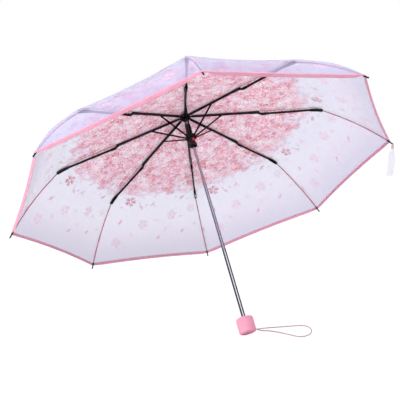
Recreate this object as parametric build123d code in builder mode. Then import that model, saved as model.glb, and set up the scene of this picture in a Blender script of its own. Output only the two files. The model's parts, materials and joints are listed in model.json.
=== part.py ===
"""Three-fold umbrella with a clear film canopy, open and lying on a floor.

Every piece is modelled upright in the shaft frame: +Z runs along the shaft towards the crown, and the
origin is the centre of the circle on which the ribs hinge. Rib number 1 points at azimuth 22.5 degrees and
the others follow every 45 degrees, so that +Y lies midway between two ribs. The finished pieces are then
laid down together, so that the two tips beside +Y and the lower edge of the handle touch the floor Z = 0.
Millimetres and degrees.
"""

import os
from math import asin, atan2, cos, degrees, hypot, radians, sin, sqrt, tan

from build123d import *

os.makedirs("parts", exist_ok=True)

# --- Driving dimensions ---------------------------------------------------------------------------------
RIB_COUNT = 8
FIRST_AZIMUTH = 22.5

# rib linkage, seen in the plane of one rib
HINGE_CIRCLE = 9.5  # radius of the circle of rib hinges in the crown
TOP_RIB = 174.0  # crown hinge to the first joint
MIDDLE_RIB = 158.0  # first joint to second joint, along the middle rib
TIP_RIB = 193.0  # second joint to the end of the tip
TIP_BOW = 8.0  # the tip rod bows outwards by this much
TOP_DROP = 11.3  # slopes below level when the umbrella is open
MIDDLE_DROP = 10.2
TIP_DROP = 45.2
STRETCHER_SEAT = 83.0  # crown hinge to stretcher hinge, along the top rib
RUNNER_CIRCLE = 10.5  # radius of the circle of stretcher pins in the runner
RUNNER_OPEN = 59.0  # runner pins below the crown hinges, open
CLOSED_TOP_DROP = 88.0
CLOSED_MIDDLE_LEAN = 0.1  # the folded middle rib leans inwards from upright by this much
CLOSED_TIP_DROP = 88.5

# sheet metal sections
TOP_WIDTH = 4.4
TOP_WALL = 0.6
TOP_ABOVE = 2.2  # channel above and below the line of hinges
TOP_BELOW = 1.8
MIDDLE_WIDTH = 3.8
MIDDLE_WALL = 0.6
MIDDLE_DEPTH = 4.0
STRETCHER_WIDTH = 3.0
STRETCHER_DEPTH = 3.0
STRETCHER_WALL = 0.5
ROD_RADIUS = 1.0
LINK_RADIUS = 0.5
LINK_EYE = 0.95
RIVET_RADIUS = 0.7
HINGE_WIRE_RADIUS = 0.6
EYE_RADIUS = 1.9
EYE_WIDTH = 2.4
TIP_CAP_RADIUS = 1.6
TIP_CAP_LENGTH = 16.0
STRETCHER_CRANK = 3.3  # stretcher hinge to link pin
MIDDLE_CRANK_ANGLE = 210.0  # direction of the middle rib's crank in the top rib's frame, open

# clearances
SWING_GAP = 0.05  # radial, a pin in a hole that turns on it
SLIDE_GAP = 0.1  # radial, a tube in a tube
SIDE_GAP = 0.1  # beside a blade between two walls
STACK_GAP = 0.4  # between folded ribs

# shaft
UPPER_TUBE_RADIUS = 3.2
TUBE_WALL = 0.5
SHAFT_TO_HANDLE = 524.5  # crown hinges to the top of the handle, extended
UPPER_TUBE_END = 186.0  # lower end of the upper tube below the crown hinges
TUBE_OVERLAP = 16.0
COLLAPSED_TO_HANDLE = 210.0  # crown hinges to the top of the handle, collapsed
TUBE_TOP = 3.0

# crown
CROWN_RADIUS = 13.0
CROWN_ABOVE = 4.0
CROWN_BELOW = 4.0
CROWN_NECK_RADIUS = 6.2
CROWN_NECK_END = 11.0
SLOT_FLOOR = 7.3  # radius at which the hinge slots end
CAP_RADIUS = 12.0
CAP_HEIGHT = 13.0
FILM_SEAT = 0.6  # room for the canopy between crown and cap

# runner
RUNNER_BORE = 4.9
RUNNER_SLOT = 3.4  # wide enough for the whole stretcher, which floats in it
RUNNER_FLANGE = 13.4
RUNNER_FLANGE_HALF = 3.6
RUNNER_BARREL = 7.9
RUNNER_LENGTH = 26.0  # pins to the lower end
RUNNER_SLEEVE = 7.0  # radius of the sleeve above the pins
RUNNER_SLEEVE_LENGTH = 36.0
RUNNER_FOOT = 9.6
RUNNER_FOOT_HEIGHT = 7.0
BUTTON_RADIUS = 2.4
BUTTON_HEAD_LENGTH = 9.0  # along the shaft; it is as wide as the stem, to pass between two stretchers
BUTTON_HEAD = 1.9
BUTTON_DROP = 10.5  # below the pins
BUTTON_REACH = 11.2  # from the shaft axis to the button's face
BUTTON_AZIMUTH = -90.0
BUTTON_TRAVEL = 1.0
BUTTON_SHOULDER = 7.0  # radius at which the button's flange rests
BUTTON_FLANGE = 0.8
BUTTON_EDGE = 0.8

# handle
HANDLE_RADIUS = 19.0
HANDLE_HEIGHT = 35.0
HANDLE_EDGE = 5.0
HANDLE_CAVITY = 13.5
HANDLE_ROOF = 4.0
HANDLE_BOSS = 7.5
PLATE_HEIGHT = 2.4
PLATE_RECESS = 0.6
CORD_RADIUS = 1.1
CORD_HOLE_RADIUS = 1.4
KNOT_RADIUS = 2.2
KNOT_AT = 10.7  # radius of the knots inside the handle
CORD_AZIMUTHS = (15.0, 50.0)
CORD_RISE = 7.0  # the cord leaves its holes straight for this far
# corners of the loop on the floor, to the right of the handle's end and towards the canopy
CORD_LOOP = [
    (43.0, 31.0),
    (78.0, 25.0),
    (115.0, 17.0),
    (145.0, 11.5),
    (157.0, -1.0),
    (150.0, -24.0),
    (130.0, -42.0),
    (104.0, -44.0),
    (86.0, -17.0),
    (64.0, 10.0),
    (42.0, 20.0),
]
CORD_HOLE_UP = 8.0  # above the handle's end face

# canopy
FILM = 0.2
HEM_WIDTH = 6.0
HEM_THICKNESS = 0.5
HEM_GAP = 0.15
# corner line of the canopy above one rib: distance from the shaft, height
FILM_PROFILE = [
    (4.4, 4.2),
    (14.0, 4.2),
    (180.0, -29.5),
    (330.0, -60.0),
    (410.0, -126.0),
    (466.0, -197.5),
]
STRAP_WIDTH = 19.0
STRAP_LENGTH = 78.0
STRAP_THICKNESS = 0.8
STRAP_RIB = 8
STRAP_DROP = 2.2  # from the middle of the tip's ball down to the top of the strap
STRAP_TURN = -15.0  # the way the width of the strap points


# --- Linkage positions, as (distance from the shaft, height) ---------------------------------------------
def step(start, length, angle):
    """The point at a distance from start in the rib's plane, angle measured from outwards towards up."""
    return (start[0] + length * cos(radians(angle)), start[1] + length * sin(radians(angle)))


def bearing(start, end):
    """Angle from outwards towards up of the line from start to end, in degrees."""
    return degrees(atan2(end[1] - start[1], end[0] - start[0])) % 360


def rib_plane(origin, angle):
    """A plane in the plane of the rib at azimuth 0, x along the member and y to its upper side."""
    a = radians(angle)
    return Plane(origin=(origin[0], 0, origin[1]), x_dir=(cos(a), 0, sin(a)), z_dir=(0, -1, 0))


# the middle rib hangs below its joints, so that it folds flat on top of the top rib
MIDDLE_OFFSET = TOP_ABOVE + STACK_GAP + MIDDLE_DEPTH / 2
TIP_OFFSET = MIDDLE_OFFSET + MIDDLE_DEPTH / 2 + STACK_GAP + ROD_RADIUS + 0.2

HINGE = (HINGE_CIRCLE, 0.0)
SEAT = step(HINGE, STRETCHER_SEAT, -TOP_DROP)
JOINT_A = step(HINGE, TOP_RIB, -TOP_DROP)
JOINT_B = step(step(JOINT_A, MIDDLE_RIB, -MIDDLE_DROP), TIP_OFFSET, -MIDDLE_DROP - 90)
TIP_END = step(JOINT_B, TIP_RIB, -TIP_DROP)
RUNNER_PIN = (RUNNER_CIRCLE, -RUNNER_OPEN)
STRETCHER = hypot(SEAT[0] - RUNNER_PIN[0], SEAT[1] - RUNNER_PIN[1])
STRETCHER_BEARING = bearing(SEAT, RUNNER_PIN)

CLOSED_SEAT = step(HINGE, STRETCHER_SEAT, -CLOSED_TOP_DROP)
CLOSED_PIN_DROP = sqrt(STRETCHER**2 - (CLOSED_SEAT[0] - RUNNER_CIRCLE) ** 2)
RUNNER_CLOSED = -CLOSED_SEAT[1] + CLOSED_PIN_DROP
CLOSED_STRETCHER_BEARING = bearing(CLOSED_SEAT, (RUNNER_CIRCLE, -RUNNER_CLOSED))

# how far each joint turns from open to closed
TOP_FOLD = CLOSED_TOP_DROP - TOP_DROP
MIDDLE_FOLD = (90 + CLOSED_MIDDLE_LEAN + CLOSED_TOP_DROP) - (TOP_DROP - MIDDLE_DROP)
TIP_FOLD = (90 + CLOSED_MIDDLE_LEAN + CLOSED_TIP_DROP) - (TIP_DROP - MIDDLE_DROP)
STRETCHER_FOLD = (CLOSED_STRETCHER_BEARING + CLOSED_TOP_DROP) - (STRETCHER_BEARING + TOP_DROP)
RUNNER_TRAVEL = RUNNER_CLOSED - RUNNER_OPEN

# the link ties the stretcher to the middle rib's crank, in the top rib's frame
LINK_START = step((STRETCHER_SEAT, 0), STRETCHER_CRANK, STRETCHER_BEARING + TOP_DROP)
CRANK_BEARING_CLOSED = CLOSED_STRETCHER_BEARING + CLOSED_TOP_DROP
LINK_START_CLOSED = step((STRETCHER_SEAT, 0), STRETCHER_CRANK, CRANK_BEARING_CLOSED)


def link_ends(crank):
    """Where the link meets a crank of this length, open and closed, in the top rib's frame."""
    return (
        step((TOP_RIB, 0), crank, MIDDLE_CRANK_ANGLE),
        step((TOP_RIB, 0), crank, MIDDLE_CRANK_ANGLE + MIDDLE_FOLD),
    )


def link_mismatch(crank):
    """How much longer the link would have to be open than closed with this crank."""
    opened, closed = link_ends(crank)
    return hypot(opened[0] - LINK_START[0], opened[1] - LINK_START[1]) - hypot(
        closed[0] - LINK_START_CLOSED[0], closed[1] - LINK_START_CLOSED[1]
    )


# the crank whose link is as long open as it is closed, by halving
low, high = 0.5, 9.0
for _ in range(50):
    MIDDLE_CRANK = (low + high) / 2
    if link_mismatch(MIDDLE_CRANK) > 0:
        low = MIDDLE_CRANK
    else:
        high = MIDDLE_CRANK
LINK_END, LINK_END_CLOSED = link_ends(MIDDLE_CRANK)
LINK_LENGTH = hypot(LINK_END[0] - LINK_START[0], LINK_END[1] - LINK_START[1])
LINK_SLOPE = degrees(atan2(LINK_END[1] - LINK_START[1], LINK_END[0] - LINK_START[0]))
LINK_SLOPE_CLOSED = degrees(
    atan2(LINK_END_CLOSED[1] - LINK_START_CLOSED[1], LINK_END_CLOSED[0] - LINK_START_CLOSED[0])
)
LINK_FOLD = STRETCHER_FOLD - (LINK_SLOPE_CLOSED - LINK_SLOPE)
LINK_PIVOT = step(SEAT, STRETCHER_CRANK, STRETCHER_BEARING)

# --- Lying on the floor ---------------------------------------------------------------------------------
HANDLE_TOP = -SHAFT_TO_HANDLE
HANDLE_END = HANDLE_TOP - HANDLE_HEIGHT
# the floor touches the ball of the tips beside +Y and the rounded edge of the handle
TIP_BALL = step(TIP_END, -TIP_CAP_RADIUS, -TIP_DROP)
FLAT_TIP = (TIP_BALL[0] * cos(radians(180 / RIB_COUNT)), TIP_BALL[1])
EDGE_CENTRE = (HANDLE_RADIUS - HANDLE_EDGE, HANDLE_END + HANDLE_EDGE)
CONTACT_SPAN = hypot(FLAT_TIP[0] - EDGE_CENTRE[0], FLAT_TIP[1] - EDGE_CENTRE[1])
LINE_BEARING = bearing(EDGE_CENTRE, FLAT_TIP)
FLOOR_BEARING = LINE_BEARING + degrees(asin((TIP_CAP_RADIUS - HANDLE_EDGE) / CONTACT_SPAN))
# the shaft leans back from upright until that line is level
LEANING = Location((0, 0, 0), (-FLOOR_BEARING, 0, 0))

# tubes, each sliding in the next
MIDDLE_TUBE_RADIUS = UPPER_TUBE_RADIUS + SLIDE_GAP + TUBE_WALL
LOWER_TUBE_RADIUS = MIDDLE_TUBE_RADIUS + SLIDE_GAP + TUBE_WALL
TUBE_TRAVEL = (SHAFT_TO_HANDLE - COLLAPSED_TO_HANDLE) / 2
MIDDLE_TUBE_TOP = -UPPER_TUBE_END + TUBE_OVERLAP
LOWER_TUBE_TOP = MIDDLE_TUBE_TOP - (SHAFT_TO_HANDLE + MIDDLE_TUBE_TOP) / 2
MIDDLE_TUBE_END = LOWER_TUBE_TOP - TUBE_OVERLAP
LOWER_TUBE_END = HANDLE_END + PLATE_RECESS + PLATE_HEIGHT

# --- Ribs, modelled once at azimuth 0 -------------------------------------------------------------------
TOP_PLANE = rib_plane(HINGE, -TOP_DROP)
MIDDLE_PLANE = rib_plane(JOINT_A, -MIDDLE_DROP)
TIP_PLANE = rib_plane(JOINT_B, -TIP_DROP)
STRETCHER_PLANE = rib_plane(SEAT, STRETCHER_BEARING)
LINK_PLANE = rib_plane(LINK_PIVOT, LINK_SLOPE - TOP_DROP)
TOP_ROOT = 8.0  # where the blade widens into the channel
WEB_CUT = 22.0  # the top rib's web stops this far before the first joint
CHEEK_WIDTH = STRETCHER_WIDTH

with BuildPart() as top_rib:
    with BuildSketch(TOP_PLANE):
        with Locations((TOP_ROOT + (TOP_RIB - TOP_ROOT) / 2, (TOP_ABOVE - TOP_BELOW) / 2)):
            Rectangle(TOP_RIB - TOP_ROOT, TOP_ABOVE + TOP_BELOW)
        with Locations((TOP_RIB, 0)):
            Circle(TOP_ABOVE)
    extrude(amount=TOP_WIDTH / 2, both=True)
    inside = TOP_WIDTH - 2 * TOP_WALL
    with BuildSketch(TOP_PLANE):
        with Locations((TOP_ROOT + 3 + TOP_RIB / 2, -TOP_WALL)):
            Rectangle(TOP_RIB, 2 * TOP_ABOVE)
        with Locations((TOP_RIB, 0)):
            Rectangle(2 * WEB_CUT, 4 * TOP_ABOVE)
    extrude(amount=inside / 2, both=True, mode=Mode.SUBTRACT)
    with BuildSketch(TOP_PLANE):
        Circle(EYE_RADIUS)
        with Locations((TOP_ROOT / 2 + 0.5, 0)):
            Rectangle(TOP_ROOT + 1, 2 * TOP_BELOW)
    extrude(amount=EYE_WIDTH / 2, both=True)
    with BuildSketch(TOP_PLANE):
        Circle(HINGE_WIRE_RADIUS + SWING_GAP)
    extrude(amount=TOP_WIDTH, both=True, mode=Mode.SUBTRACT)
    with BuildSketch(TOP_PLANE):
        with Locations((STRETCHER_SEAT, 0), (TOP_RIB, 0)):
            Circle(RIVET_RADIUS)
    extrude(amount=TOP_WIDTH / 2 + 0.4, both=True)
    # the rivet of the first joint is two stubs, so that the link can pass between them
    with BuildSketch(TOP_PLANE):
        with Locations((TOP_RIB, 0)):
            Circle(2 * RIVET_RADIUS)
    extrude(amount=STRETCHER_WIDTH / 2 - STRETCHER_WALL, both=True, mode=Mode.SUBTRACT)

with BuildPart() as stretcher:
    with BuildSketch(STRETCHER_PLANE):
        with Locations(((STRETCHER - 6) / 2, 0)):
            Rectangle(STRETCHER - 6, STRETCHER_DEPTH)
        Circle(STRETCHER_DEPTH / 2)
    extrude(amount=STRETCHER_WIDTH / 2, both=True)
    with BuildSketch(STRETCHER_PLANE):
        with Locations(((STRETCHER - 12) / 2 - 2, STRETCHER_WALL)):
            Rectangle(STRETCHER - 8, STRETCHER_DEPTH)
    extrude(amount=STRETCHER_WIDTH / 2 - STRETCHER_WALL, both=True, mode=Mode.SUBTRACT)
    with BuildSketch(STRETCHER_PLANE):
        with Locations((STRETCHER, 0)):
            Circle(EYE_RADIUS)
        with Locations((STRETCHER - 4, 0)):
            Rectangle(8, STRETCHER_DEPTH)
    extrude(amount=EYE_WIDTH / 2, both=True)
    with BuildSketch(STRETCHER_PLANE):
        Circle(RIVET_RADIUS + SWING_GAP)
        with Locations((STRETCHER, 0)):
            Circle(HINGE_WIRE_RADIUS)
    extrude(amount=STRETCHER_WIDTH, both=True, mode=Mode.SUBTRACT)
    with BuildSketch(STRETCHER_PLANE):
        with Locations((STRETCHER_CRANK, 0)):
            Circle(LINK_RADIUS)
    extrude(amount=STRETCHER_WIDTH / 2, both=True)

with BuildPart() as link:
    with BuildSketch(LINK_PLANE):
        Circle(LINK_EYE)
        with Locations((LINK_LENGTH / 2, 0)):
            Rectangle(LINK_LENGTH, 2 * LINK_RADIUS)
        with Locations((LINK_LENGTH, 0)):
            Circle(LINK_RADIUS)
        Circle(LINK_RADIUS + SWING_GAP, mode=Mode.SUBTRACT)
    extrude(amount=LINK_RADIUS, both=True)

BODY_START = 4.5
BODY_END = MIDDLE_RIB - 10
with BuildPart() as middle_rib:
    with BuildSketch(MIDDLE_PLANE):
        with Locations(((BODY_START + BODY_END) / 2, -MIDDLE_OFFSET)):
            Rectangle(BODY_END - BODY_START, MIDDLE_DEPTH)
    extrude(amount=MIDDLE_WIDTH / 2, both=True)
    with BuildSketch(MIDDLE_PLANE):
        Circle(EYE_RADIUS - 0.3)
        with Locations(step((0, 0), MIDDLE_CRANK, MIDDLE_CRANK_ANGLE - TOP_DROP + MIDDLE_DROP)):
            Circle(2 * LINK_RADIUS)
        with Locations((BODY_START + 2.0, -MIDDLE_OFFSET)):
            Circle(MIDDLE_DEPTH / 2)
        make_hull()
    extrude(amount=CHEEK_WIDTH / 2, both=True)
    with BuildSketch(MIDDLE_PLANE):
        with Locations((MIDDLE_RIB, -TIP_OFFSET)):
            Circle(EYE_RADIUS)
        with Locations((BODY_END - 6, -MIDDLE_OFFSET)):
            Circle(MIDDLE_DEPTH / 2)
        make_hull()
    extrude(amount=MIDDLE_WIDTH / 2, both=True)
    with BuildSketch(MIDDLE_PLANE):
        with Locations((BODY_START + 6 + MIDDLE_RIB / 2, -MIDDLE_OFFSET - MIDDLE_WALL)):
            Rectangle(MIDDLE_RIB, MIDDLE_DEPTH)
        with Locations((MIDDLE_RIB, -TIP_OFFSET)):
            Rectangle(24, 12)
    extrude(amount=MIDDLE_WIDTH / 2 - MIDDLE_WALL, both=True, mode=Mode.SUBTRACT)
    with BuildSketch(MIDDLE_PLANE):
        Rectangle(2 * BODY_START, 4 * EYE_RADIUS)
        with Locations((BODY_START, MIDDLE_DEPTH / 2 - MIDDLE_OFFSET + 3.2)):
            Rectangle(4 * BODY_START, 6)
    extrude(amount=CHEEK_WIDTH / 2 - STRETCHER_WALL, both=True, mode=Mode.SUBTRACT)
    with BuildSketch(MIDDLE_PLANE):
        Circle(RIVET_RADIUS + SWING_GAP)
    extrude(amount=MIDDLE_WIDTH, both=True, mode=Mode.SUBTRACT)
    with BuildSketch(MIDDLE_PLANE):
        with Locations((MIDDLE_RIB, -TIP_OFFSET)):
            Circle(RIVET_RADIUS)
    extrude(amount=MIDDLE_WIDTH / 2 + 0.4, both=True)

with BuildPart() as tip_rib:
    with BuildLine(TIP_PLANE):
        rod = ThreePointArc((0, 0), (TIP_RIB / 2, TIP_BOW), (TIP_RIB - TIP_CAP_RADIUS, 0))
    with BuildSketch(Plane(origin=rod @ 0, z_dir=rod % 0)):
        Circle(ROD_RADIUS)
    sweep(path=rod)
    with BuildSketch(TIP_PLANE):
        Circle(EYE_RADIUS)
    extrude(amount=EYE_WIDTH / 2, both=True)
    cap_from = 1 - TIP_CAP_LENGTH / rod.length
    with BuildSketch(Plane(origin=rod @ cap_from, z_dir=rod % 1)):
        Circle(TIP_CAP_RADIUS)
    extrude(amount=TIP_CAP_LENGTH)
    with Locations(rod @ 1):
        Sphere(TIP_CAP_RADIUS)
    with BuildSketch(TIP_PLANE):
        Circle(RIVET_RADIUS + SWING_GAP)
    extrude(amount=EYE_WIDTH, both=True, mode=Mode.SUBTRACT)

# --- Crown and runner -----------------------------------------------------------------------------------
RIB_ANGLES = [FIRST_AZIMUTH + 360 / RIB_COUNT * k for k in range(RIB_COUNT)]


def across(radius, height, azimuth):
    """A plane whose normal is tangential, at a point of the rib hinges or the stretcher pins."""
    a = radians(azimuth)
    return Plane(
        origin=(radius * cos(a), radius * sin(a), height),
        x_dir=(cos(a), sin(a), 0),
        z_dir=(-sin(a), cos(a), 0),
    )


with BuildPart() as crown:
    with BuildSketch(Plane.XY.offset(-CROWN_BELOW)):
        Circle(CROWN_RADIUS)
    extrude(amount=CROWN_BELOW + CROWN_ABOVE)
    with BuildSketch(Plane.XY.offset(-CROWN_NECK_END)):
        Circle(CROWN_NECK_RADIUS)
    extrude(amount=CROWN_NECK_END)
    for azimuth in RIB_ANGLES:
        with BuildSketch(across(SLOT_FLOOR + CROWN_RADIUS / 2, 0, azimuth)):
            Rectangle(CROWN_RADIUS, 4 * CROWN_RADIUS)
        extrude(amount=EYE_WIDTH / 2 + SIDE_GAP, both=True, mode=Mode.SUBTRACT)
        with BuildSketch(across(HINGE_CIRCLE, 0, azimuth)):
            Circle(HINGE_WIRE_RADIUS)
        extrude(amount=EYE_WIDTH / 2 + 0.8, both=True)
    with BuildSketch(Plane.XY.offset(-CROWN_NECK_END)):
        Circle(UPPER_TUBE_RADIUS)
    extrude(amount=CROWN_NECK_END + CROWN_ABOVE, mode=Mode.SUBTRACT)

with BuildPart() as crown_cap:
    with BuildSketch(Plane.XY.offset(CROWN_ABOVE + FILM_SEAT)):
        Circle(CAP_RADIUS)
    extrude(amount=CAP_HEIGHT, taper=22)
    fillet(crown_cap.faces().sort_by(Axis.Z)[-1].edges(), 3)
    with BuildSketch(Plane.XY.offset(-CROWN_BELOW)):
        Circle(UPPER_TUBE_RADIUS - TUBE_WALL)
    extrude(amount=CROWN_BELOW + CROWN_ABOVE + FILM_SEAT)

RUNNER_END = -RUNNER_OPEN - RUNNER_LENGTH
with BuildPart() as runner:
    with BuildSketch(Plane.XY.offset(-RUNNER_OPEN - RUNNER_FLANGE_HALF)):
        Circle(RUNNER_FLANGE)
    extrude(amount=2 * RUNNER_FLANGE_HALF)
    with BuildSketch(Plane.XY.offset(RUNNER_END)):
        Circle(RUNNER_BARREL)
    extrude(amount=RUNNER_LENGTH)
    with BuildSketch(Plane.XY.offset(RUNNER_END)):
        Circle(RUNNER_FOOT)
    extrude(amount=RUNNER_FOOT_HEIGHT)
    with BuildSketch(Plane.XY.offset(-RUNNER_OPEN)):
        Circle(RUNNER_SLEEVE)
    extrude(amount=RUNNER_SLEEVE_LENGTH)
    for azimuth in RIB_ANGLES:
        with BuildSketch(across(RUNNER_BARREL + RUNNER_FLANGE / 2, -RUNNER_OPEN, azimuth)):
            Rectangle(RUNNER_FLANGE, 2 * RUNNER_FLANGE_HALF + 2)
        extrude(amount=RUNNER_SLOT / 2, both=True, mode=Mode.SUBTRACT)
    with BuildSketch(Plane.XY.offset(RUNNER_END)):
        Circle(RUNNER_BORE)
    extrude(amount=RUNNER_LENGTH + RUNNER_SLEEVE_LENGTH, mode=Mode.SUBTRACT)
    turn = radians(BUTTON_AZIMUTH)
    outward = (cos(turn), sin(turn), 0)
    button_height = -RUNNER_OPEN - BUTTON_DROP
    with BuildSketch(Plane(origin=(0, 0, button_height), z_dir=outward)):
        Circle(BUTTON_RADIUS + SLIDE_GAP)
    extrude(amount=RUNNER_FLANGE, mode=Mode.SUBTRACT)
    with BuildSketch(Plane(origin=(0, 0, button_height), z_dir=outward)):
        Circle(BUTTON_RADIUS + BUTTON_FLANGE + SLIDE_GAP)
    extrude(amount=BUTTON_SHOULDER, mode=Mode.SUBTRACT)

button_plane = Plane(origin=(0, 0, button_height), x_dir=(0, 0, 1), z_dir=outward)
button_axis = Axis(origin=(0, 0, 0), direction=outward)
with BuildPart() as runner_button:
    with BuildSketch(button_plane.offset(BUTTON_SHOULDER - BUTTON_FLANGE)):
        Circle(BUTTON_RADIUS + BUTTON_FLANGE)
    extrude(amount=BUTTON_FLANGE)
    with BuildSketch(button_plane.offset(BUTTON_SHOULDER - BUTTON_FLANGE)):
        Circle(BUTTON_RADIUS)
    extrude(amount=BUTTON_REACH - BUTTON_SHOULDER + BUTTON_FLANGE)
    with BuildSketch(button_plane.offset(BUTTON_REACH - BUTTON_HEAD)):
        SlotOverall(BUTTON_HEAD_LENGTH, 2 * BUTTON_RADIUS)
    extrude(amount=BUTTON_HEAD)
    fillet(runner_button.faces().sort_by(button_axis)[-1].edges(), BUTTON_EDGE)


# --- Shaft and handle -----------------------------------------------------------------------------------
def tube(radius, low_end, high_end):
    """A thin tube about the shaft axis between two heights."""
    with BuildPart() as pipe:
        with BuildSketch(Plane.XY.offset(low_end)):
            Circle(radius)
            Circle(radius - TUBE_WALL, mode=Mode.SUBTRACT)
        extrude(amount=high_end - low_end)
    return pipe.part


upper_tube = tube(UPPER_TUBE_RADIUS, -UPPER_TUBE_END, TUBE_TOP)
middle_tube = tube(MIDDLE_TUBE_RADIUS, MIDDLE_TUBE_END, MIDDLE_TUBE_TOP)
lower_tube = tube(LOWER_TUBE_RADIUS, LOWER_TUBE_END, LOWER_TUBE_TOP)

with BuildPart() as handle:
    with BuildSketch(Plane.XY.offset(HANDLE_END)):
        Circle(HANDLE_RADIUS)
    extrude(amount=HANDLE_HEIGHT)
    fillet(handle.edges(), HANDLE_EDGE)
    with BuildSketch(Plane.XY.offset(HANDLE_END)):
        Circle(HANDLE_CAVITY)
    extrude(amount=HANDLE_HEIGHT - HANDLE_ROOF, mode=Mode.SUBTRACT)
    with BuildSketch(Plane.XY.offset(LOWER_TUBE_END)):
        Circle(HANDLE_BOSS)
    extrude(amount=HANDLE_TOP - HANDLE_ROOF - LOWER_TUBE_END + 0.5)
    with BuildSketch(Plane.XY.offset(LOWER_TUBE_END)):
        Circle(LOWER_TUBE_RADIUS)
    extrude(amount=HANDLE_HEIGHT, mode=Mode.SUBTRACT)
    for azimuth in CORD_AZIMUTHS:
        aim = (cos(radians(azimuth)), sin(radians(azimuth)), 0)
        hole_plane = Plane(origin=(0, 0, HANDLE_END + CORD_HOLE_UP), z_dir=aim)
        with BuildSketch(hole_plane.offset(KNOT_AT)):
            Circle(CORD_HOLE_RADIUS)
        extrude(amount=HANDLE_RADIUS, mode=Mode.SUBTRACT)

with BuildPart() as handle_plate:
    with BuildSketch(Plane.XY.offset(HANDLE_END + PLATE_RECESS)):
        Circle(HANDLE_CAVITY)
    extrude(amount=PLATE_HEIGHT)


# --- Canopy ---------------------------------------------------------------------------------------------
def facets(profile):
    """A solid with one octagon at every (corner distance, height) of the profile, joined by flat facets."""
    with BuildPart() as dome:
        for distance, height in profile:
            with BuildSketch(Plane.XY.offset(height)):
                with Locations(Rotation(0, 0, FIRST_AZIMUTH)):
                    RegularPolygon(distance, RIB_COUNT)
        loft(ruled=True)
    return dome.part


def shifted(profile, outwards):
    """The profile moved square to its last run."""
    (r0, z0), (r1, z1) = profile[-2:]
    run = hypot(r1 - r0, z1 - z0)
    return [(r + outwards * (z0 - z1) / run, z + outwards * (r1 - r0) / run) for r, z in profile]


roof = [(r, z + FILM) for r, z in FILM_PROFILE[1:]]
below_rim = (FILM_PROFILE[-1][0] + 1, FILM_PROFILE[-1][1] - 1)
roof_solid = facets(roof)
lining_solid = facets(FILM_PROFILE[1:] + [below_rim])
with BuildPart() as canopy:
    add(roof_solid)
    add(lining_solid, mode=Mode.SUBTRACT)
    with BuildSketch(Plane.XY):
        Circle(FILM_PROFILE[0][0])
    extrude(amount=2 * CROWN_ABOVE, mode=Mode.SUBTRACT)

EDGE_SLOPE = (roof[-2][1] - roof[-1][1]) / (roof[-1][0] - roof[-2][0])
HEM_RISE = HEM_WIDTH * sin(atan2(EDGE_SLOPE, 1))
hem_line = [(roof[-1][0] - HEM_RISE / EDGE_SLOPE, roof[-1][1] + HEM_RISE), roof[-1]]
hem_core = [(roof[-1][0] - 2 * HEM_RISE / EDGE_SLOPE, roof[-1][1] + 2 * HEM_RISE), roof[-1]]
hem_outside = facets(shifted(hem_line, HEM_GAP + HEM_THICKNESS))
hem_inside = facets(shifted(hem_core, HEM_GAP))
with BuildPart() as canopy_hem:
    add(hem_outside)
    add(hem_inside, mode=Mode.SUBTRACT)

# --- Laying down ----------------------------------------------------------------------------------------
placed = {}


def lay(name, piece, azimuth=0):
    """Turns a piece to its azimuth, leans it with the shaft and keeps it under its name."""
    placed[name] = piece.moved(LEANING * Rotation(0, 0, azimuth))


lay("handle", handle.part)
lay("handle_plate", handle_plate.part)
lay("lower_tube", lower_tube)
lay("middle_tube", middle_tube)
lay("upper_tube", upper_tube)
lay("crown", crown.part)
lay("crown_cap", crown_cap.part)
lay("runner", runner.part)
lay("runner_button", runner_button.part)
lay("canopy", canopy.part)
lay("canopy_hem", canopy_hem.part)
for number, azimuth in enumerate(RIB_ANGLES, start=1):
    lay(f"top_rib_{number}", top_rib.part, azimuth)
    lay(f"stretcher_{number}", stretcher.part, azimuth)
    lay(f"link_{number}", link.part, azimuth)
    lay(f"middle_rib_{number}", middle_rib.part, azimuth)
    lay(f"tip_rib_{number}", tip_rib.part, azimuth)

boxes = [piece.bounding_box() for piece in placed.values()]
middle_x = (min(box.min.X for box in boxes) + max(box.max.X for box in boxes)) / 2
middle_y = (min(box.min.Y for box in boxes) + max(box.max.Y for box in boxes)) / 2
floor_z = min(box.min.Z for box in boxes)
FLOOR_ORIGIN = Location((-middle_x, -middle_y, -floor_z))
TO_FLOOR = FLOOR_ORIGIN * LEANING


def on_floor(radius, azimuth, height):
    """Where a point of the shaft frame ends up in the finished part."""
    a = radians(azimuth)
    spot = TO_FLOOR * Location((radius * cos(a), radius * sin(a), height))
    return spot.position


# the strap hangs straight down from the hem at one tip
strap_azimuth = RIB_ANGLES[STRAP_RIB - 1]
strap_top = on_floor(TIP_BALL[0], strap_azimuth, TIP_BALL[1]) - Vector(0, 0, STRAP_DROP)
strap_across = (cos(radians(STRAP_TURN)), sin(radians(STRAP_TURN)), 0)
with BuildPart() as closure_strap:
    with BuildSketch(Plane(origin=strap_top, x_dir=strap_across)):
        Rectangle(STRAP_WIDTH, STRAP_THICKNESS)
    extrude(amount=-STRAP_LENGTH)

# the wrist cord leaves the handle through two holes, and its loop lies on the floor
hole_height = HANDLE_END + CORD_HOLE_UP
far_knot = on_floor(KNOT_AT, CORD_AZIMUTHS[1], hole_height)
far_exit = on_floor(HANDLE_RADIUS + CORD_RISE, CORD_AZIMUTHS[1], hole_height)
near_knot = on_floor(KNOT_AT, CORD_AZIMUTHS[0], hole_height)
near_exit = on_floor(HANDLE_RADIUS + CORD_RISE, CORD_AZIMUTHS[0], hole_height)
foot = on_floor(0, 0, HANDLE_END)
lying = CORD_RADIUS + 0.1
cord_points = [far_knot, far_exit]
for along, aside in CORD_LOOP:
    cord_points.append(Vector(foot.X + along, foot.Y + aside, lying))
cord_points += [near_exit, near_knot]
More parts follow.
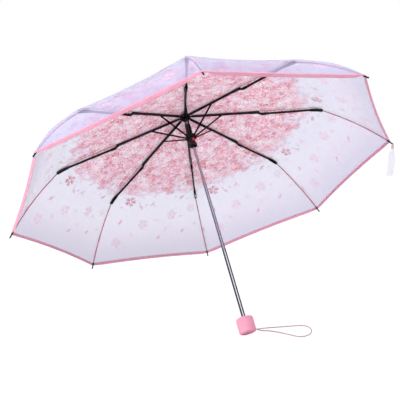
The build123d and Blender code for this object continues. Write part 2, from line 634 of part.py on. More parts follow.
# each corner is rounded as widely as its shorter run allows
cord_radii = []
for before, corner, after in zip(cord_points, cord_points[1:], cord_points[2:]):
    run = min((corner - before).length, (after - corner).length)
    bend = radians((corner - before).get_angle(after - corner))
    cord_radii.append(round(0.45 * run / tan(bend / 2), 3))
print("cord radii", cord_radii)
with BuildPart() as wrist_cord:
    with BuildLine():
        route = FilletPolyline(*cord_points, radius=cord_radii)
    with BuildSketch(Plane(origin=route @ 0, z_dir=route % 0)):
        Circle(CORD_RADIUS)
    sweep(path=route)
    with Locations(far_knot, near_knot):
        Sphere(KNOT_RADIUS)
print("cord length", route.length, "volume", wrist_cord.part.volume)

for name, piece in placed.items():
    finished = piece.moved(FLOOR_ORIGIN)
    finished.label = name
    export_step(finished, f"parts/{name}.step")
closure_strap.part.label = "closure_strap"
export_step(closure_strap.part, "parts/closure_strap.step")
wrist_cord.part.label = "wrist_cord"
export_step(wrist_cord.part, "parts/wrist_cord.step")
print("lean", FLOOR_BEARING, "origin shift", FLOOR_ORIGIN.position)
print("folds: top", TOP_FOLD, "middle", MIDDLE_FOLD, "tip", TIP_FOLD)
print("folds: stretcher", STRETCHER_FOLD, "link", LINK_FOLD)
print("travels: runner", RUNNER_TRAVEL, "tubes", TUBE_TRAVEL, "button", BUTTON_TRAVEL)
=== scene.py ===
"""Clear folding umbrella, open and lying on a floor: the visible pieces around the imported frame.

Shapes are worked out in the shaft frame: z runs along the shaft towards the crown, and the origin is the
centre of the circle on which the ribs hinge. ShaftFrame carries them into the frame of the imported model.
"""

import json
import logging
import math
from dataclasses import dataclass, field
from enum import Enum
from typing import Any

import bpy
import numpy as np
from mathutils import Matrix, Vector
from numpy.typing import NDArray

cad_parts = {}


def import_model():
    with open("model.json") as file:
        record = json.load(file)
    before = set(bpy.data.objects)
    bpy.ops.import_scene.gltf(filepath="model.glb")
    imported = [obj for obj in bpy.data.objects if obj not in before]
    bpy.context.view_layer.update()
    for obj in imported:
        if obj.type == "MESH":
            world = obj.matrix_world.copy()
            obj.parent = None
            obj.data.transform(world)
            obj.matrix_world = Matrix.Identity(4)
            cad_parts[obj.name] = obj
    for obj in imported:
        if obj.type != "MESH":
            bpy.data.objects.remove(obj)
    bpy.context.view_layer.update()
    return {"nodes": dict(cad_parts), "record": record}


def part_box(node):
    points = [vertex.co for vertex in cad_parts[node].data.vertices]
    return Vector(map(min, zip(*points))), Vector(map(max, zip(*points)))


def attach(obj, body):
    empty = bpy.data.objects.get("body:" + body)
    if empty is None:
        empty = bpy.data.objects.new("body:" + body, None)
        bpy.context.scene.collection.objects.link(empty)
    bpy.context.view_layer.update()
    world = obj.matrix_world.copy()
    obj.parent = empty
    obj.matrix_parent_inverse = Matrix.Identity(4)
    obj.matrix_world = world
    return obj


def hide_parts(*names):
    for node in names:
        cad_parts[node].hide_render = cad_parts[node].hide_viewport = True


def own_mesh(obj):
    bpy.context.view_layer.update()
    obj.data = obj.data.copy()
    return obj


LOG = logging.getLogger("umbrella")
MM = 0.001
RIB_COUNT = 8
FIRST_AZIMUTH = math.radians(22.5)
HALF_GORE = math.pi / RIB_COUNT
SCREEN_KNEE = 10
NEAR_ZERO = 1e-9
SPLINE_STEPS = 40
WHITE = (1.0, 1.0, 1.0)
Points = NDArray[np.float64]


class RibPart(Enum):
    """The three members of one rib, each of which carries a band of the canopy."""

    TOP = "top_rib"
    MIDDLE = "middle_rib"
    TIP = "tip_rib"

    def node(self, number: int) -> str:
        """Name of this member's CAD node on one rib."""
        return f"{self.value}_{number}"

    def body(self, number: int) -> str:
        """Name of this member's body on one rib."""
        return f"arm_{self.value}_{number}"


def linear(*srgb: float) -> tuple[float, ...]:
    """Colour as seen on a screen, 0 to 255, to the linear light that shaders add up.

    The screen's curve is a power of 2.4 above its knee and a straight line below it.

    Args:
        srgb: Red, green and blue.

    Returns:
        The three linear values, 0 to 1.
    """
    return tuple(
        ((c / 255 + 0.055) / 1.055) ** 2.4 if c > SCREEN_KNEE else c / 255 / 12.92 for c in srgb
    )


def rgba(colour: tuple[float, ...]) -> tuple[float, float, float, float]:
    """A linear colour with full alpha."""
    return (colour[0], colour[1], colour[2], 1.0)


def smooth(low: float, high: float, value: Points) -> Points:
    """Smooth step: 0 below low, 1 above high, and 3x^2 - 2x^3 between them."""
    x = np.clip((value - low) / (high - low), 0.0, 1.0)
    return x * x * (3 - 2 * x)


# --- Frame -------------------------------------------------------------------------------------------------
@dataclass(frozen=True)
class ShaftFrame:
    """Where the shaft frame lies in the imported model's frame."""

    origin: Points
    x: Points
    y: Points
    z: Points

    @classmethod
    def from_joints(cls, joints: dict[str, Any]) -> "ShaftFrame":
        """Reads the frame from the joints: the rib hinges give its origin, the shaft's slide its axis.

        Args:
            joints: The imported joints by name.

        Returns:
            The shaft frame.
        """
        hinges = np.array([joints[f"top_hinge_{n}"]["pos_m"] for n in range(1, RIB_COUNT + 1)])
        z = -np.array(joints["middle_telescope"]["axis"], float)
        z /= np.linalg.norm(z)
        x = np.array([1.0, 0.0, 0.0])
        return cls(hinges.mean(axis=0), x, np.cross(z, x), z)

    @property
    def axes(self) -> Points:
        """The three axes as rows."""
        return np.stack([self.x, self.y, self.z])

    def turn(self, direction: Any) -> Points:
        """Directions of the shaft frame as directions of the model's frame."""
        return np.asarray(direction, float) @ self.axes

    def place(self, points: Points) -> Points:
        """Points of the shaft frame, in metres, as points of the model's frame."""
        return self.origin + self.turn(points)

    def local(self, point: Any) -> Points:
        """A point of the model's frame as a point of the shaft frame."""
        return self.axes @ (np.array(point, float) - self.origin)


def azimuth_of(rib: int) -> float:
    """Azimuth of a rib about the shaft, in radians; ribs count from 1."""
    return FIRST_AZIMUTH + (rib - 1) * 2 * HALF_GORE


# --- Meshes ------------------------------------------------------------------------------------------------
@dataclass
class Patch:
    """A surface on a grid: points is rows by columns by 3, with optional uv and colour for each point."""

    points: Points
    uv: Points | None = None
    colour: Points | None = None
    closed: bool = False

    def faces(self, first: int) -> NDArray[np.int32]:
        """Four corners for each cell of the grid; a closed patch joins its last column to its first.

        Args:
            first: Number of the patch's first vertex in the whole mesh.

        Returns:
            Cells by four vertex numbers.
        """
        rows, columns = self.points.shape[:2]
        index = np.arange(rows * columns).reshape(rows, columns) + first
        if self.closed:
            index = np.concatenate([index, index[:, :1]], axis=1)
        corners = [index[:-1, :-1], index[:-1, 1:], index[1:, 1:], index[1:, :-1]]
        return np.stack([c.ravel() for c in corners], axis=1).astype(np.int32)


def mesh_object(name: str, patches: list[Patch], frame: ShaftFrame | None) -> bpy.types.Object:
    """One object from grid surfaces, with its place in its mesh.

    Args:
        name: Name of the piece.
        patches: Surfaces, in metres.
        frame: Carries shaft-frame points into the model's frame; None leaves them as they are.

    Returns:
        The object, smooth shaded.
    """
    points = np.concatenate([p.points.reshape(-1, 3) for p in patches])
    if frame is not None:
        points = frame.place(points)
    starts = np.cumsum([0] + [p.points.shape[0] * p.points.shape[1] for p in patches])
    quads = np.concatenate([p.faces(int(s)) for p, s in zip(patches, starts)])
    mesh = bpy.data.meshes.new(name)
    mesh.vertices.add(len(points))
    mesh.vertices.foreach_set("co", points.astype(np.float32).ravel())
    mesh.loops.add(quads.size)
    mesh.loops.foreach_set("vertex_index", quads.ravel())
    mesh.polygons.add(len(quads))
    mesh.polygons.foreach_set("loop_start", np.arange(0, quads.size, 4, dtype=np.int32))
    mesh.polygons.foreach_set("loop_total", np.full(len(quads), 4, np.int32))
    mesh.polygons.foreach_set("use_smooth", np.ones(len(quads), bool))
    mesh.update(calc_edges=True)
    if all(p.uv is not None for p in patches):
        uv = np.concatenate([p.uv.reshape(-1, 2) for p in patches])[quads.ravel()]
        layer = mesh.uv_layers.new(name="flat")
        layer.data.foreach_set("uv", uv.astype(np.float32).ravel())
    if all(p.colour is not None for p in patches):
        colour = np.concatenate([p.colour.reshape(-1, 4) for p in patches])
        attribute = mesh.color_attributes.new(name="print", type="FLOAT_COLOR", domain="POINT")
        attribute.data.foreach_set("color", colour.astype(np.float32).ravel())
    piece = bpy.data.objects.new(name, mesh)
    bpy.context.scene.collection.objects.link(piece)
    return piece


def lathe(profile: Points, columns: int = 72) -> Patch:
    """Surface of revolution about z: each point of the profile goes round the axis at its own height.

    Args:
        profile: (radius, height) points.
        columns: Points in each ring.

    Returns:
        The closed surface, a ring for each point of the profile.
    """
    angle = np.linspace(0, 2 * math.pi, columns, endpoint=False)
    radius, height = profile[:, 0, None], profile[:, 1, None]
    points = np.stack([radius * np.cos(angle), radius * np.sin(angle), height + 0 * angle], axis=-1)
    return Patch(points, closed=True)


def length_along(line: Points) -> Points:
    """Length from the start of a line of points to each of them."""
    return np.concatenate([[0], np.cumsum(np.linalg.norm(np.diff(line, axis=0), axis=1))])


def spline(knots: Points, count: int) -> Points:
    """Points at even steps along a Catmull-Rom curve through the knots, ends included.

    Between knots b and c, with a before and d after them, the curve is the cubic whose slopes there are half
    of c - a and half of d - b. It is worked out at fine steps, and the even ones are read off its length.

    Args:
        knots: Knots by coordinates.
        count: How many points to give.

    Returns:
        The points.
    """
    before = 2 * knots[0] - knots[1]
    after = 2 * knots[-1] - knots[-2]
    line = np.vstack([before, knots, after])
    t = np.linspace(0, len(knots) - 1, SPLINE_STEPS * len(knots))
    i = np.minimum(t.astype(int), len(knots) - 2)
    u = (t - i)[:, None]
    a, b, c, d = line[i], line[i + 1], line[i + 2], line[i + 3]
    curve = 0.5 * (2 * b + (c - a) * u + (2 * a - 5 * b + 4 * c - d) * u**2 + (3 * b - a - 3 * c + d) * u**3)
    run = length_along(curve)
    even = np.linspace(0, run[-1], count)
    return np.stack([np.interp(even, run, curve[:, k]) for k in range(curve.shape[1])], axis=1)


# --- Shaders -----------------------------------------------------------------------------------------------
@dataclass(frozen=True)
class Signal:
    """A number that varies over a surface; arithmetic on it adds Math nodes."""

    shader: "Shader"
    socket: bpy.types.NodeSocket

    def _math(self, operation: str, *values: Any) -> "Signal":
        """One Math node on these values, each a number or a signal."""
        node = self.shader.node("ShaderNodeMath", {"operation": operation}, dict(enumerate(values)))
        return Signal(self.shader, node.outputs[0])

    def __add__(self, other: Any) -> "Signal":
        """self + other."""
        return self._math("ADD", self, other)

    __radd__ = __add__

    def __sub__(self, other: Any) -> "Signal":
        """self - other."""
        return self._math("SUBTRACT", self, other)

    def __rsub__(self, other: Any) -> "Signal":
        """other - self."""
        return self._math("SUBTRACT", other, self)

    def __mul__(self, other: Any) -> "Signal":
        """self * other."""
        return self._math("MULTIPLY", self, other)

    __rmul__ = __mul__

    def sine(self) -> "Signal":
        """Sine of this angle in radians."""
        return self._math("SINE", self)

    def below(self, limit: float) -> "Signal":
        """1 where this is less than limit, else 0."""
        return self._math("LESS_THAN", self, limit)

    def between(self, low: float, high: float) -> "Signal":
        """Rises smoothly from 0 at low to 1 at high."""
        node = self.shader.node(
            "ShaderNodeMapRange",
            {"interpolation_type": "SMOOTHSTEP", "clamp": True},
            {"Value": self, "From Min": low, "From Max": high},
        )
        return Signal(self.shader, node.outputs["Result"])


class Shader:
    """A node tree under construction; a material's has one Principled shader, self.surface."""

    def __init__(self, name: str) -> None:
        """Makes an empty material.

        Args:
            name: Name of the material.
        """
        self.material = bpy.data.materials.new(name)
        self.material.use_nodes = True
        self.start(self.material.node_tree, "ShaderNodeOutputMaterial")
        self.surface = self.node("ShaderNodeBsdfPrincipled")
        self.link(self.surface.outputs[0], self.output.inputs["Surface"])

    def start(self, tree: bpy.types.NodeTree, output: str) -> None:
        """Empties a tree, and adds its output and its coordinates.

        Args:
            tree: The node tree.
            output: Type of its output node.
        """
        self.tree = tree
        self.tree.nodes.clear()
        self.output = self.node(output)
        self.place = self.node("ShaderNodeTexCoord")

    @classmethod
    def on(cls, tree: bpy.types.NodeTree, output: str) -> "Shader":
        """A shader on an existing tree, such as the world's.

        Args:
            tree: The tree, which is emptied.
            output: Type of its output node.

        Returns:
            The shader, without a Principled shader.
        """
        made = cls.__new__(cls)
        made.start(tree, output)
        return made

    def link(self, start: bpy.types.NodeSocket, end: bpy.types.NodeSocket) -> None:
        """Joins two sockets."""
        self.tree.links.new(start, end)

    def feed(self, socket: bpy.types.NodeSocket, value: Any) -> None:
        """Gives an input a signal, another node's output or a constant."""
        if isinstance(value, Signal):
            self.link(value.socket, socket)
        elif isinstance(value, bpy.types.NodeSocket):
            self.link(value, socket)
        else:
            socket.default_value = value

    def node(
        self, kind: str, settings: dict[str, Any] | None = None, inputs: dict[Any, Any] | None = None
    ) -> bpy.types.Node:
        """Adds a node.

        Args:
            kind: The node's type.
            settings: Attributes, set before anything is linked.
            inputs: A value, socket or signal for each input, by name or number.

        Returns:
            The node.
        """
        made = self.tree.nodes.new(kind)
        for key, value in (settings or {}).items():
            setattr(made, key, value)
        for key, value in (inputs or {}).items():
            self.feed(made.inputs[key], value)
        return made

    def distance(self, point: Points) -> Signal:
        """Distance in metres from a point of the model's frame."""
        made = self.node(
            "ShaderNodeVectorMath",
            {"operation": "DISTANCE"},
            {0: self.place.outputs["Object"], 1: tuple(float(c) for c in point)},
        )
        return Signal(self, made.outputs["Value"])

    def cells(self, scale: float) -> tuple[Signal, Signal]:
        """Cells on the piece's flat map.

        Args:
            scale: How many go to the metre.

        Returns:
            Distance from the middle of a cell, and the cell's own random number from 0 to 1.
        """
        made = self.node(
            "ShaderNodeTexVoronoi",
            {"voronoi_dimensions": "2D"},
            {"Vector": self.place.outputs["UV"], "Scale": scale},
        )
        parted = self.node("ShaderNodeSeparateColor", None, {"Color": made.outputs["Color"]})
        return Signal(self, made.outputs["Distance"]), Signal(self, parted.outputs["Red"])

    def noise(self, scale: float, detail: float = 3.0, where: str = "Object") -> Signal:
        """Noise from 0 to 1 at a scale in cycles per metre."""
        made = self.node(
            "ShaderNodeTexNoise",
            None,
            {"Vector": self.place.outputs[where], "Scale": scale, "Detail": detail},
        )
        return Signal(self, made.outputs[0])

    def mix(self, share: Any, first: Any, second: Any) -> bpy.types.NodeSocket:
        """Colour that goes from first to second as share goes from 0 to 1."""
        made = self.node("ShaderNodeMix", {"data_type": "RGBA"}, {0: share, 6: first, 7: second})
        return made.outputs[2]

    def set(self, **values: Any) -> None:
        """Sets or links inputs of the Principled shader; underscores stand for spaces."""
        for key, value in values.items():
            self.feed(self.surface.inputs[key.replace("_", " ")], value)

    def bump(self, height: Signal, distance: float, strength: float = 1.0) -> None:
        """Raises the surface by up to distance metres where height is 1."""
        values = {"Height": height, "Distance": distance, "Strength": strength}
        self.link(self.node("ShaderNodeBump", None, values).outputs[0], self.surface.inputs["Normal"])

    def rays(self) -> tuple[Signal, bpy.types.NodeSocket]:
        """Tells rays apart.

        Returns:
            1 for rays that come from the camera, straight or through the film, and 1 for mirrored ones.
        """
        path = self.node("ShaderNodeLightPath").outputs
        straight = Signal(self, path["Is Camera Ray"]) + Signal(self, path["Is Transmission Ray"])
        return straight, path["Is Glossy Ray"]

    def light(self, kind: str, colour: tuple[float, ...], strength: float) -> bpy.types.NodeSocket:
        """An emission or a background of one colour."""
        return self.node(kind, None, {"Color": rgba(colour), "Strength": strength}).outputs[0]

    def blend(
        self, share: Any, first: bpy.types.NodeSocket, second: bpy.types.NodeSocket
    ) -> bpy.types.NodeSocket:
        """Shader that goes from first to second as share goes from 0 to 1."""
        return self.node("ShaderNodeMixShader", None, {0: share, 1: first, 2: second}).outputs[0]


@dataclass(frozen=True)
class FilmFinish:
    """Clear plastic film with a print and painted shade kept in the colour attribute: its colour, and how thick
    it is.

    Where the print is dense, small round specks lie on it, one to a cell of the flat map: some are pale, and
    some are dark.
    """

    name: str
    tint: tuple[float, ...]
    clear: float
    printed: float
    roughness: float = 0.24
    haze_scale: float = 9.0
    haze_depth: float = 0.05
    dense: tuple[float, float] = (0.55, 0.85)
    speck_scale: float = 215.0
    speck_edge: tuple[float, float] = (0.2, 0.42)
    pale_below: float = 0.46
    dark_above: float = 0.62
    pale_strength: float = 0.9
    dark_strength: float = 0.8
    pale_speck: tuple[float, ...] = linear(255, 246, 250)
    dark_speck: tuple[float, ...] = linear(206, 84, 112)

    def build(self) -> bpy.types.Material:
        """Makes the material."""
        s = Shader(self.name)
        ink = s.node("ShaderNodeAttribute", {"attribute_name": "print"})
        cover = Signal(s, ink.outputs["Alpha"])
        haze = s.noise(self.haze_scale, 2.0)
        away, chance = s.cells(self.speck_scale)
        dot = (1 - away.between(*self.speck_edge)) * cover.between(*self.dense)
        pale = dot * chance.below(self.pale_below) * self.pale_strength
        dark = dot * (1 - chance.below(self.dark_above)) * self.dark_strength
        printed = s.mix(pale, ink.outputs["Color"], rgba(self.pale_speck))
        printed = s.mix(dark, printed, rgba(self.dark_speck))
        s.set(
            Base_Color=s.mix(cover, rgba(self.tint), printed),
            Alpha=cover * (self.printed - self.clear) + self.clear + (haze - 0.5) * self.haze_depth,
            Roughness=haze * 0.1 + self.roughness,
            IOR=1.45,
            Specular_IOR_Level=0.16,
        )
        s.bump(s.noise(14.0, 1.0), 0.001, 0.03)
        return s.material


@dataclass(frozen=True)
class PlasticFinish:
    """Moulded or coated plastic: a colour that varies a little, as its gloss does, and a fine grain."""

    name: str
    colour: tuple[float, ...]
    shade: tuple[float, ...]
    roughness: float
    grain: float = 900.0
    depth: float = 0.00006
    alpha: float = 1.0
    cloud_scale: float = 45.0
    rub: float = 0.12

    def build(self) -> bpy.types.Material:
        """Makes the material."""
        s = Shader(self.name)
        cloud = s.noise(self.cloud_scale, 4.0)
        s.set(
            Base_Color=s.mix(cloud.between(0.35, 0.75), rgba(self.colour), rgba(self.shade)),
            Roughness=cloud * self.rub + self.roughness,
            Alpha=self.alpha,
        )
        s.bump(s.noise(self.grain, 2.0), self.depth, 0.6)
        return s.material


@dataclass(frozen=True)
class SteelFinish:
    """Plated steel, bright with a faint drawn grain."""

    name: str
    colour: tuple[float, ...]
    roughness: float = 0.16

    def build(self) -> bpy.types.Material:
        """Makes the material."""
        s = Shader(self.name)
        smudge = s.noise(30.0, 4.0)
        dull = tuple(c * 0.86 for c in self.colour)
        s.set(
            Base_Color=s.mix(smudge.between(0.4, 0.8), rgba(self.colour), rgba(dull)),
            Metallic=1.0,
            Roughness=smudge * 0.1 + self.roughness,
        )
        s.bump(s.noise(1500.0, 1.0), 0.00001, 0.3)
        return s.material


@dataclass(frozen=True)
class EnamelFinish:
    """Black enamel on thin sheet steel, rubbed a little grey."""

    name: str
    colour: tuple[float, ...]
    rubbed: tuple[float, ...]

    def build(self) -> bpy.types.Material:
        """Makes the material."""
        s = Shader(self.name)
        wear = s.noise(120.0, 5.0).between(0.58, 0.78)
        s.set(
            Base_Color=s.mix(wear, rgba(self.colour), rgba(self.rubbed)),
            Roughness=wear * 0.15 + 0.38,
            Specular_IOR_Level=0.3,
        )
        s.bump(s.noise(700.0, 2.0), 0.00002, 0.5)
        return s.material


@dataclass(frozen=True)
class RodFinish:
    """Glass-fibre tip rod, black at its eye and in its end cap.

    The distance from the middle of the hub tells them apart: the eye ends at near, and the cap starts at far.
    """

    name: str
    colour: tuple[float, ...]
    cap: tuple[float, ...]
    near: float
    far: float
    near_blend: float = 0.001
    far_blend: float = 0.0006

    def build(self, hub: Points) -> bpy.types.Material:
        """Makes the material.

        Args:
            hub: Middle of the circle of rib hinges.

        Returns:
            The material.
        """
        s = Shader(self.name)
        away = s.distance(hub)
        past_eye = away.between(self.near, self.near + self.near_blend)
        bare = past_eye * (1 - away.between(self.far, self.far + self.far_blend))
        fibre = s.noise(400.0, 3.0)
        s.set(
            Base_Color=s.mix(bare * (fibre * 0.2 + 0.8), rgba(self.cap), rgba(self.colour)),
            Roughness=0.4,
            Specular_IOR_Level=0.35,
        )
        s.bump(fibre, 0.00002, 0.4)
        return s.material


@dataclass(frozen=True)
class CordFinish:
    """Round braided cord: two sets of yarns that cross, from the piece's own flat map, with painted shade in
    the grooves.
    """

    name: str
    colour: tuple[float, ...]
    shade: tuple[float, ...]
    yarns: float = 5.0
    pitch: float = 240.0

    def build(self) -> bpy.types.Material:
        """Makes the material."""
        s = Shader(self.name)
        split = s.node("ShaderNodeSeparateXYZ", None, {0: s.place.outputs["UV"]})
        along = Signal(s, split.outputs[0]) * self.pitch * math.pi
        around = Signal(s, split.outputs[1]) * self.yarns * 2 * math.pi
        weave = ((along + around).sine() * (along - around).sine()).between(-0.9, 0.9)
        # Painted shade: the colour darkens where the weave is low, in the grooves that the bump lowers.
        s.set(Base_Color=s.mix(weave, rgba(self.shade), rgba(self.colour)), Roughness=0.85)
        s.bump(weave, 0.0003, 0.8)
        return s.material


FILM = FilmFinish("canopy_film", linear(204, 200, 238), 0.46, 0.87)
STRAP_FILM = FilmFinish("strap_film", linear(222, 220, 240), 0.5, 0.95)
BINDING = PlasticFinish(
    "pink_binding", linear(250, 178, 202), linear(244, 168, 192), 0.38, grain=500.0, alpha=0.74
)
TAPE = PlasticFinish("seam_tape", linear(238, 150, 178), linear(230, 138, 166), 0.34, grain=500.0, alpha=0.55)
HANDLE_PINK = PlasticFinish("handle_pink", linear(241, 162, 186), linear(235, 154, 179), 0.42)
PLATE_PINK = PlasticFinish("plate_pink", linear(236, 156, 184), linear(230, 148, 178), 0.5)
CORD_PINK = CordFinish("cord_pink", linear(214, 180, 190), linear(178, 142, 156))
STEEL = SteelFinish("shaft_steel", linear(186, 184, 192), 0.1)
ENAMEL = EnamelFinish("rib_black", linear(10, 8, 10), linear(40, 34, 38))
ROD = RodFinish("tip_rod", linear(22, 16, 19), linear(10, 8, 10), 0.3520, 0.4975)
HUB_BLACK = PlasticFinish("hub_black", linear(14, 12, 15), linear(26, 22, 26), 0.38)
BUTTON_RED = PlasticFinish("button_red", linear(226, 44, 58), linear(208, 34, 48), 0.34)
WIRE = SteelFinish("wire_steel", linear(196, 192, 200), 0.3)


def dress(piece: bpy.types.Object, material: bpy.types.Material) -> None:
    """Gives a piece one material."""
    piece.data.materials.clear()
    piece.data.materials.append(material)


# --- Print -------------------------------------------------------------------------------------------------
class Ink(Enum):
    """Colours of the printed blossom, and the grey of the painted shade that veils the film towards the rim."""

    ROSE = linear(212, 92, 120)
    CORAL = linear(234, 124, 148)
    PINK = linear(246, 160, 186)
    BLUSH = linear(252, 200, 218)
    WHITE = linear(255, 248, 251)
    LILAC = linear(232, 170, 196)
    # Painted shade: the grey that veils the film towards the rim.
    PAINTED_SHADE = linear(146, 140, 168)


CROWD_INKS = {
    Ink.ROSE: 0.21,
    Ink.CORAL: 0.19,
    Ink.PINK: 0.15,
    Ink.BLUSH: 0.11,
    Ink.WHITE: 0.27,
    Ink.LILAC: 0.07,
}
STRAY_INKS = (Ink.PINK, Ink.BLUSH, Ink.LILAC)
FLOWER_PETALS = 5
PETAL_MIDDLE = 0.57
PETAL_HALF_LENGTH = 0.43
PETAL_HALF_WIDTH = 0.3
PETAL_FLARE = 0.13
LOOSE_HALF_WIDTH = 0.42
ANY_TURN = 6.3


@dataclass(frozen=True)
class Blossom:
    """A five-petalled flower, or a single petal, on the flat gore: sideways and outward place, in metres."""

    sideways: float
    outward: float
    radius: float
    turn: float
    ink: Ink
    strength: float
    petals: int = FLOWER_PETALS

    def cover(self, u: Points, v: Points) -> Points:
        """How much of the film this prints over at each point, 0 to 1.

        Args:
            u: Sideways places.
            v: Outward places.

        Returns:
            The cover. A petal is an ellipse whose inner end is near the flower's centre, wider towards its
            tip, with a notch there and a thinner vein along its middle.
        """
        x, y = (u - self.sideways) / self.radius, (v - self.outward) / self.radius
        reach, angle = np.hypot(x, y), np.arctan2(y, x) - self.turn
        if self.petals == FLOWER_PETALS:
            sector = 2 * math.pi / FLOWER_PETALS
            angle = (angle + sector / 2) % sector - sector / 2
            x = (reach * np.cos(angle) - PETAL_MIDDLE) / PETAL_HALF_LENGTH
            y = reach * np.sin(angle) / (PETAL_HALF_WIDTH + PETAL_FLARE * np.clip(x, -1, 1))
        else:
            x, y = reach * np.cos(angle), reach * np.sin(angle) / LOOSE_HALF_WIDTH
        notch = 0.35 * np.exp(-((y / 0.22) ** 2)) * smooth(0.3, 1.0, x)
        edge = np.hypot(x, y) + notch
        vein = 1 - 0.25 * np.exp(-((y / 0.3) ** 2)) * (x > -0.4)
        return self.strength * (1 - smooth(0.84, 1.06, edge)) * vein


@dataclass
class BlossomPrint:
    """The print of one gore: a dense mass of blossom round the crown that thins to single flowers.

    Lengths are in metres. The shares are of the film's cover, but for crowd_flowers, the share of the mass that
    is whole flowers and not loose petals, and overhang, how far past the gore's edge the mass goes.
    """

    seed: int = 8
    mass_start: float = 0.012
    mass_edge: float = 0.268
    mass_blend: float = 0.03
    mass_cover: float = 0.72
    crowd: int = 520
    crowd_sizes: tuple[float, float] = (0.006, 0.0125)
    crowd_flowers: float = 0.7
    overhang: float = 1.03
    stray: int = 46
    stray_sizes: tuple[float, float] = (0.004, 0.008)
    stray_spread: float = 0.035
    # Painted shade: a grey veil over the film between these distances from the crown, up to this cover.
    painted_shade_start: float = 0.36
    painted_shade_end: float = 0.50
    painted_shade_cover: float = 0.36
    placed: tuple[Blossom, ...] = (
        Blossom(0.071, 0.3215, 0.0165, 0.5, Ink.ROSE, 0.95),
        Blossom(-0.0315, 0.2750, 0.0135, 1.0, Ink.CORAL, 0.95),
        Blossom(0.0305, 0.3950, 0.0165, 0.2, Ink.BLUSH, 0.62),
        Blossom(-0.0580, 0.3710, 0.0165, 0.9, Ink.BLUSH, 0.66),
        Blossom(0.1085, 0.4440, 0.0160, 0.4, Ink.BLUSH, 0.60),
        Blossom(-0.1180, 0.3560, 0.0130, 0.1, Ink.BLUSH, 0.50),
        Blossom(0.0380, 0.3410, 0.0090, 2.2, Ink.LILAC, 0.70, 1),
        Blossom(0.0985, 0.3835, 0.0090, 1.0, Ink.PINK, 0.85, 1),
        Blossom(-0.0190, 0.4420, 0.0080, 0.9, Ink.PINK, 0.80, 1),
        Blossom(-0.0960, 0.4250, 0.0085, 0.8, Ink.PINK, 0.80, 1),
        Blossom(-0.0850, 0.3175, 0.0095, 0.6, Ink.CORAL, 0.80, 1),
        Blossom(0.1570, 0.4300, 0.0085, 1.3, Ink.PINK, 0.75, 1),
        Blossom(0.0060, 0.3350, 0.0085, 0.3, Ink.BLUSH, 0.70, 1),
        Blossom(-0.0100, 0.3850, 0.0070, 2.6, Ink.BLUSH, 0.60, 1),
        Blossom(0.0640, 0.4250, 0.0075, 2.0, Ink.BLUSH, 0.65, 1),
        Blossom(-0.0420, 0.4180, 0.0070, 1.6, Ink.BLUSH, 0.60, 1),
        Blossom(-0.1350, 0.4050, 0.0080, 0.2, Ink.BLUSH, 0.60, 1),
    )

    def blossoms(self) -> list[Blossom]:
        """Every blossom in the order they are printed: the mass, the strays round its edge, the placed ones.

        Returns:
            The blossoms, the same on every run.
        """
        rng = np.random.default_rng(self.seed)
        inks, shares = list(CROWD_INKS), list(CROWD_INKS.values())
        inside, outside = self.mass_edge - self.mass_blend, self.mass_edge + self.mass_blend
        found = []
        for _ in range(self.crowd):
            out = self.mass_start + (outside - self.mass_start) * math.sqrt(rng.uniform(0, 1))
            side = rng.uniform(-1, 1) * out * math.tan(HALF_GORE) * self.overhang
            ink = inks[rng.choice(len(inks), p=shares)]
            radius, turn = rng.uniform(*self.crowd_sizes), rng.uniform(0, ANY_TURN)
            strength = rng.uniform(0.6, 0.95) * (1 - 0.5 * float(smooth(inside, outside, np.array(out))))
            petals = FLOWER_PETALS if rng.uniform() < self.crowd_flowers else 1
            found.append(Blossom(side, out, radius, turn, ink, strength, petals))
        for _ in range(self.stray):
            out = self.mass_edge + abs(rng.normal(0, self.stray_spread))
            side = rng.uniform(-1, 1) * out * math.tan(HALF_GORE)
            ink = STRAY_INKS[rng.integers(len(STRAY_INKS))]
            radius, turn = rng.uniform(*self.stray_sizes), rng.uniform(0, ANY_TURN)
            found.append(Blossom(side, out, radius, turn, ink, rng.uniform(0.35, 0.7), 1))
        return found + list(self.placed)

    def paint(self, u: Points, v: Points) -> Points:
        """Print over a set of points of the flat gore.

        Args:
            u: Sideways places, in metres from the gore's middle line.
            v: Outward places, in metres from the crown.

        Returns:
            Red, green, blue and cover for each point. Under the blossoms lies a wash whose edge is wavy and
            whose colour is mottled, both by sums of sines, and a painted shade: a grey veil that thickens
            towards the rim.
            Each blossom is laid over what is there.
        """
        ragged = 0.012 * np.sin(u * 71 + 0.8) + 0.008 * np.sin(u * 163 + v * 40)
        ragged = ragged + 0.006 * np.sin(u * 337 + 2.1)
        wash = 1 - smooth(self.mass_edge - 0.035, self.mass_edge + 0.02, v + ragged)
        mottle = 0.5 + 0.25 * np.sin(u * 190 + 3 * np.sin(v * 130)) * np.sin(v * 210 + 2 * np.sin(u * 90))
        pink, blush, grey = (np.array(ink.value) for ink in (Ink.PINK, Ink.BLUSH, Ink.PAINTED_SHADE))
        base = pink * mottle[..., None] + blush * (1 - mottle[..., None])
        # Painted shade: the film is greyed and its cover thickened towards the rim.
        painted_shade = smooth(self.painted_shade_start, self.painted_shade_end, v)
        colour = base * (1 - painted_shade[..., None]) + grey * painted_shade[..., None]
        cover = np.maximum(wash * self.mass_cover, painted_shade * self.painted_shade_cover)
        for b in self.blossoms():
            reach = b.radius * 1.1
            near = (np.abs(u - b.sideways) < reach) & (np.abs(v - b.outward) < reach)
            if not near.any():
                continue
            share = b.cover(u[near], v[near])[:, None]
            under = cover[near][:, None]
            total = share + under * (1 - share)
            mixed = np.array(b.ink.value) * share + colour[near] * under * (1 - share)
            colour[near] = mixed / np.maximum(total, 1e-4)
            cover[near] = total[:, 0]
        return np.concatenate([colour, cover[..., None]], axis=-1)


